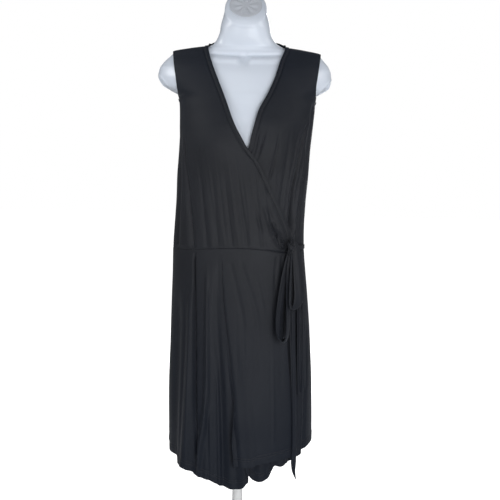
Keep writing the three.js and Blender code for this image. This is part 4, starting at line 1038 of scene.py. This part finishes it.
def stubOut(x, height, facing):
    # the crisp edge round the flat end of each arm stub; beyond it the end falls away
    total = 0 * x
    for name in ("right", "left"):
        (x0, z0), (x1, z1) = stubEdges[name]
        length = math.hypot(x1 - x0, z1 - z0)
        along = ((x - x0) * (x1 - x0) + (height - z0) * (z1 - z0)) / length**2
        beyond = ((x - x0) * (z1 - z0) - (height - z0) * (x1 - x0)) / length * (1 if name == "right" else -1)
        seen = ease((along + 0.12) / 0.12) * ease((1.25 - along) / 0.12) * (facing > 0.02)
        edge = stubEdges["proud"] * np.exp(-((beyond / 2.6) ** 2)) - stubEdges["sunk"] * ease(beyond / 5)
        total = total + np.where(np.abs(x) > 150, edge * seen, 0)
    return total


def formPlace(u, v):
    # v: 0 to 0.05 closes the bottom, up to 0.84 the body, then the neck and its rounded rim
    angle = (-360 * (1 - u) - 18 * np.sin(4 * np.pi * u)) % 360  # closer columns at the sides
    height = np.interp(v, [0, 0.05, 0.42, 0.52, 0.84, 1], [455, 458, 1000, 1060, 1222, 1222])
    section = formSection(height)
    section["square"] = mix(section["square"], neckCut["square"], ease((height - 1182) / 38))
    x, y, nx, ny = sectionPoint(section, angle)
    front = (angle > 0) & (angle < 180)
    facing = np.where(front, np.sin(np.radians(angle)), 0)
    out = (bustOut(x, height) * 0.8 + collarOut(x, height)) * facing
    out = out + stubOut(x, height, facing)
    edge = np.clip(1 - v / 0.05, 0, 1)
    x, y = (x + nx * out) * (1 - edge ** 3), (y + ny * out) * (1 - edge ** 3)
    share = np.clip((v - 0.84) / 0.11, 0, 1)
    x = x + neckCut["lean"] * ease((height - 1160) / 60)
    root = formSection(1222 + 0 * u)
    part, fuller = ease(share), neckCut["fuller"] * ease(share * 2) * (1 - ease((share - 0.35) / 0.65))
    round_ = np.clip((v - 0.95) / 0.03, 0, 1) * np.pi / 2
    shrink = 1 - (1 - np.cos(round_)) * neckCut["rim"] / neckCut["half"]
    ends = {name: mix(root[name], neckCut[name], part) for name in ("front", "back", "mid")}
    neck = {"right": mix(root["right"], neckCut["half"], part) + fuller,
            "left": mix(root["left"], neckCut["half"], part) + fuller,
            "square": mix(neckCut["square"], 2, np.sin(round_) ** 2), **ends}
    rx, ry, _, _ = sectionPoint(neck, angle)
    rx, ry = rx * shrink, neck["mid"] + (ry - neck["mid"]) * shrink
    top = {"right": neckCut["half"] + 0 * u, "left": neckCut["half"] + 0 * u, "front": neckCut["front"] + 0 * u,
           "back": neckCut["back"] + 0 * u, "mid": neckCut["mid"] + 0 * u, "square": neck["square"]}
    topY = sectionPoint(top, angle)[1]
    rimFoot = neckCut["height"] + topY * neckCut["slope"] - neckCut["rim"]
    rimTop = neckCut["height"] + ry * neckCut["slope"] - neckCut["rim"] * (1 - np.sin(round_))
    rz = np.where(v < 0.95, mix(1222, rimFoot, share), rimTop)
    inner = np.clip((v - 0.98) / 0.02, 0, 1)
    rx, ry = rx * (1 - inner), mix(ry, neckCut["mid"], inner)
    rz = np.where(inner > 0, neckCut["height"] + ry * neckCut["slope"], rz)
    up = v > 0.84
    return np.where(up, rx + neckCut["lean"], x), np.where(up, ry, y), np.where(up, rz, height)


def capPlace(u, v):
    # a grey insert with soft ribs that fan out from its middle
    angle = -360 * (1 - u) % 360
    keep = 1 - neckCut["rim"] / neckCut["half"]
    rim = {"right": neckCut["half"] + 0 * u, "left": neckCut["half"] + 0 * u, "front": neckCut["front"] + 0 * u,
           "back": neckCut["back"] + 0 * u, "mid": neckCut["mid"] + 0 * u, "square": 2 + 0 * u}
    rx, ry, _, _ = sectionPoint(rim, angle)
    profile = np.interp(v, [0, 0.12, 0.3, 1], [keep, keep, keep - 0.03, 0])
    lift = np.interp(v, [0, 0.12, 0.3, 1], [0.1, 0.7, 1.2, 1.4])
    lift = lift + 0.9 * np.cos(np.radians(angle * 9)) * ease((v - 0.35) / 0.2) * ease((0.9 - v) / 0.25)
    x, y = rx * profile, neckCut["mid"] + (ry - neckCut["mid"]) * profile
    z = neckCut["height"] + y * neckCut["slope"]
    norm = math.hypot(neckCut["slope"], 1)
    return x + neckCut["lean"], y - lift * neckCut["slope"] / norm, z + lift / norm


torso = clothGrid("formTorso", 236, 380, formPlace, closeSeam=True)
finishPiece(torso, formSkin, "form_skin", "form_torso")
neckCap = clothGrid("formNeckCap", 144, 30, capPlace, closeSeam=True)
finishPiece(neckCap, capGrey, "cap_grey", "form_neck_cap")

stand = {"baseRadius": 160, "thick": 12, "hubRadius": 24, "hubTop": 30, "poleRadius": 12.5, "poleTop": 454.7}


def spun(name, profile, steps=96):
    bm = bmesh.new()
    verts = [bm.verts.new((r * metre, 0, z * metre)) for r, z in profile]
    edges = [bm.edges.new(pair) for pair in zip(verts, verts[1:])]
    bmesh.ops.spin(bm, geom=verts + edges, cent=(0, 0, 0), axis=(0, 0, 1), angle=2 * math.pi, steps=steps, use_merge=True)
    bmesh.ops.remove_doubles(bm, verts=bm.verts, dist=1e-6)
    bmesh.ops.recalc_face_normals(bm, faces=bm.faces)
    piece = linkMesh(name, bm)
    return piece


s = stand
base = spun("standBase", [
    (0, 0), (s["baseRadius"] - 1, 0), (s["baseRadius"], 1), (s["baseRadius"], 8), (s["baseRadius"] - 1.2, 10.8),
    (s["baseRadius"] - 4, s["thick"]), (s["hubRadius"] + 5, s["thick"]), (s["hubRadius"] + 1.5, s["thick"] + 1.5),
    (s["hubRadius"], s["thick"] + 5), (s["hubRadius"], s["hubTop"] - 2), (s["hubRadius"] - 2, s["hubTop"]), (0, s["hubTop"]),
])
finishPiece(base, standPaint, "stand_white", "stand_base")
pole = spun("standPole", [(0, s["hubTop"] + 0.3), (s["poleRadius"], s["hubTop"] + 0.3), (s["poleRadius"], s["poleTop"]),
                          (0, s["poleTop"])], 64)
finishPiece(pole, standPaint, "stand_white", "stand_pole")
print("form and stand built")

# Floor, light
studio = {
    "world": 0.13, "background": 1.0, "floorSize": 30, "glowNear": 0.6, "glowFar": 1.0, "glowFrom": 0.16, "glowTo": 0.34,
    "lights": [  # name, place, aimed at, size, power
        ("keySoft", (0.7, -2.05, 0.75), (0, 0, 0.62), 1.2, 24),
        ("fillSoft", (-0.9, -2.15, 0.95), (0, 0, 0.75), 1.1, 9),
        ("sideSoft", (1.8, -1.5, 1.3), (0, 0, 0.85), 1.2, 3),
        ("overSoft", (-0.15, -0.85, 2.15), (0, 0, 1.1), 0.5, 0.9),
        ("neckRight", (1.0, -0.35, 1.6), (0, 0, 1.22), 0.4, 2.6),
        ("neckLeft", (-1.0, -0.35, 1.6), (0, 0, 1.22), 0.4, 4.6),
        ("backSoft", (0.4, 2.6, 1.3), (0, 0, 0.78), 1.4, 42),
    ],
}


def addStudio(c):
    world = bpy.data.worlds.new("studio")
    bpy.context.scene.world = world
    world.use_nodes = True
    nodes, links = world.node_tree.nodes, world.node_tree.links
    soft = nodes["Background"]
    soft.inputs["Color"].default_value, soft.inputs["Strength"].default_value = (1, 1, 1, 1), c["world"]
    seen = nodes.new("ShaderNodeBackground")
    seen.inputs["Color"].default_value, seen.inputs["Strength"].default_value = (1, 1, 1, 1), c["background"]
    path, choice = nodes.new("ShaderNodeLightPath"), nodes.new("ShaderNodeMixShader")
    links.new(path.outputs["Is Camera Ray"], choice.inputs["Fac"])
    links.new(soft.outputs[0], choice.inputs[1])
    links.new(seen.outputs[0], choice.inputs[2])
    links.new(choice.outputs[0], nodes["World Output"].inputs["Surface"])
    for name, place, aim, size, power in c["lights"]:
        data = bpy.data.lights.new(name, "AREA")
        data.shape, data.size, data.energy = "DISK", size, power
        lamp = bpy.data.objects.new(name, data)
        lamp.location = place
        lamp.rotation_euler = (Vector(aim) - Vector(place)).to_track_quat("-Z", "Y").to_euler()
        bpy.context.collection.objects.link(lamp)
    bm = bmesh.new()
    bmesh.ops.create_grid(bm, x_segments=1, y_segments=1, size=c["floorSize"] / 2)
    floor = linkMesh("floor", bm)
    paint, nodes, links, shader = newMaterial("paleFloor", (0.9, 0.9, 0.9), 0.8)
    glow, add = nodes.new("ShaderNodeEmission"), nodes.new("ShaderNodeAddShader")
    path = nodes.new("ShaderNodeLightPath")
    place, away, near = (nodes.new("ShaderNode" + kind) for kind in ("TexCoord", "VectorMath", "MapRange"))
    away.operation = "LENGTH"
    links.new(place.outputs["Object"], away.inputs[0])
    links.new(away.outputs["Value"], near.inputs["Value"])
    for socket, value in (("From Min", "glowFrom"), ("From Max", "glowTo"), ("To Min", "glowNear"), ("To Max", "glowFar")):
        near.inputs[socket].default_value = c[value]
    white = nodes.new("ShaderNodeMath")
    white.operation = "MULTIPLY"
    links.new(path.outputs["Is Camera Ray"], white.inputs[0])
    links.new(near.outputs["Result"], white.inputs[1])
    links.new(white.outputs[0], glow.inputs["Strength"])
    links.new(shader.outputs[0], add.inputs[0])
    links.new(glow.outputs[0], add.inputs[1])
    links.new(add.outputs[0], nodes["Material Output"].inputs["Surface"])
    floor.data.materials.append(paint)


addStudio(studio)
bpy.context.scene.view_settings.view_transform = "Standard"
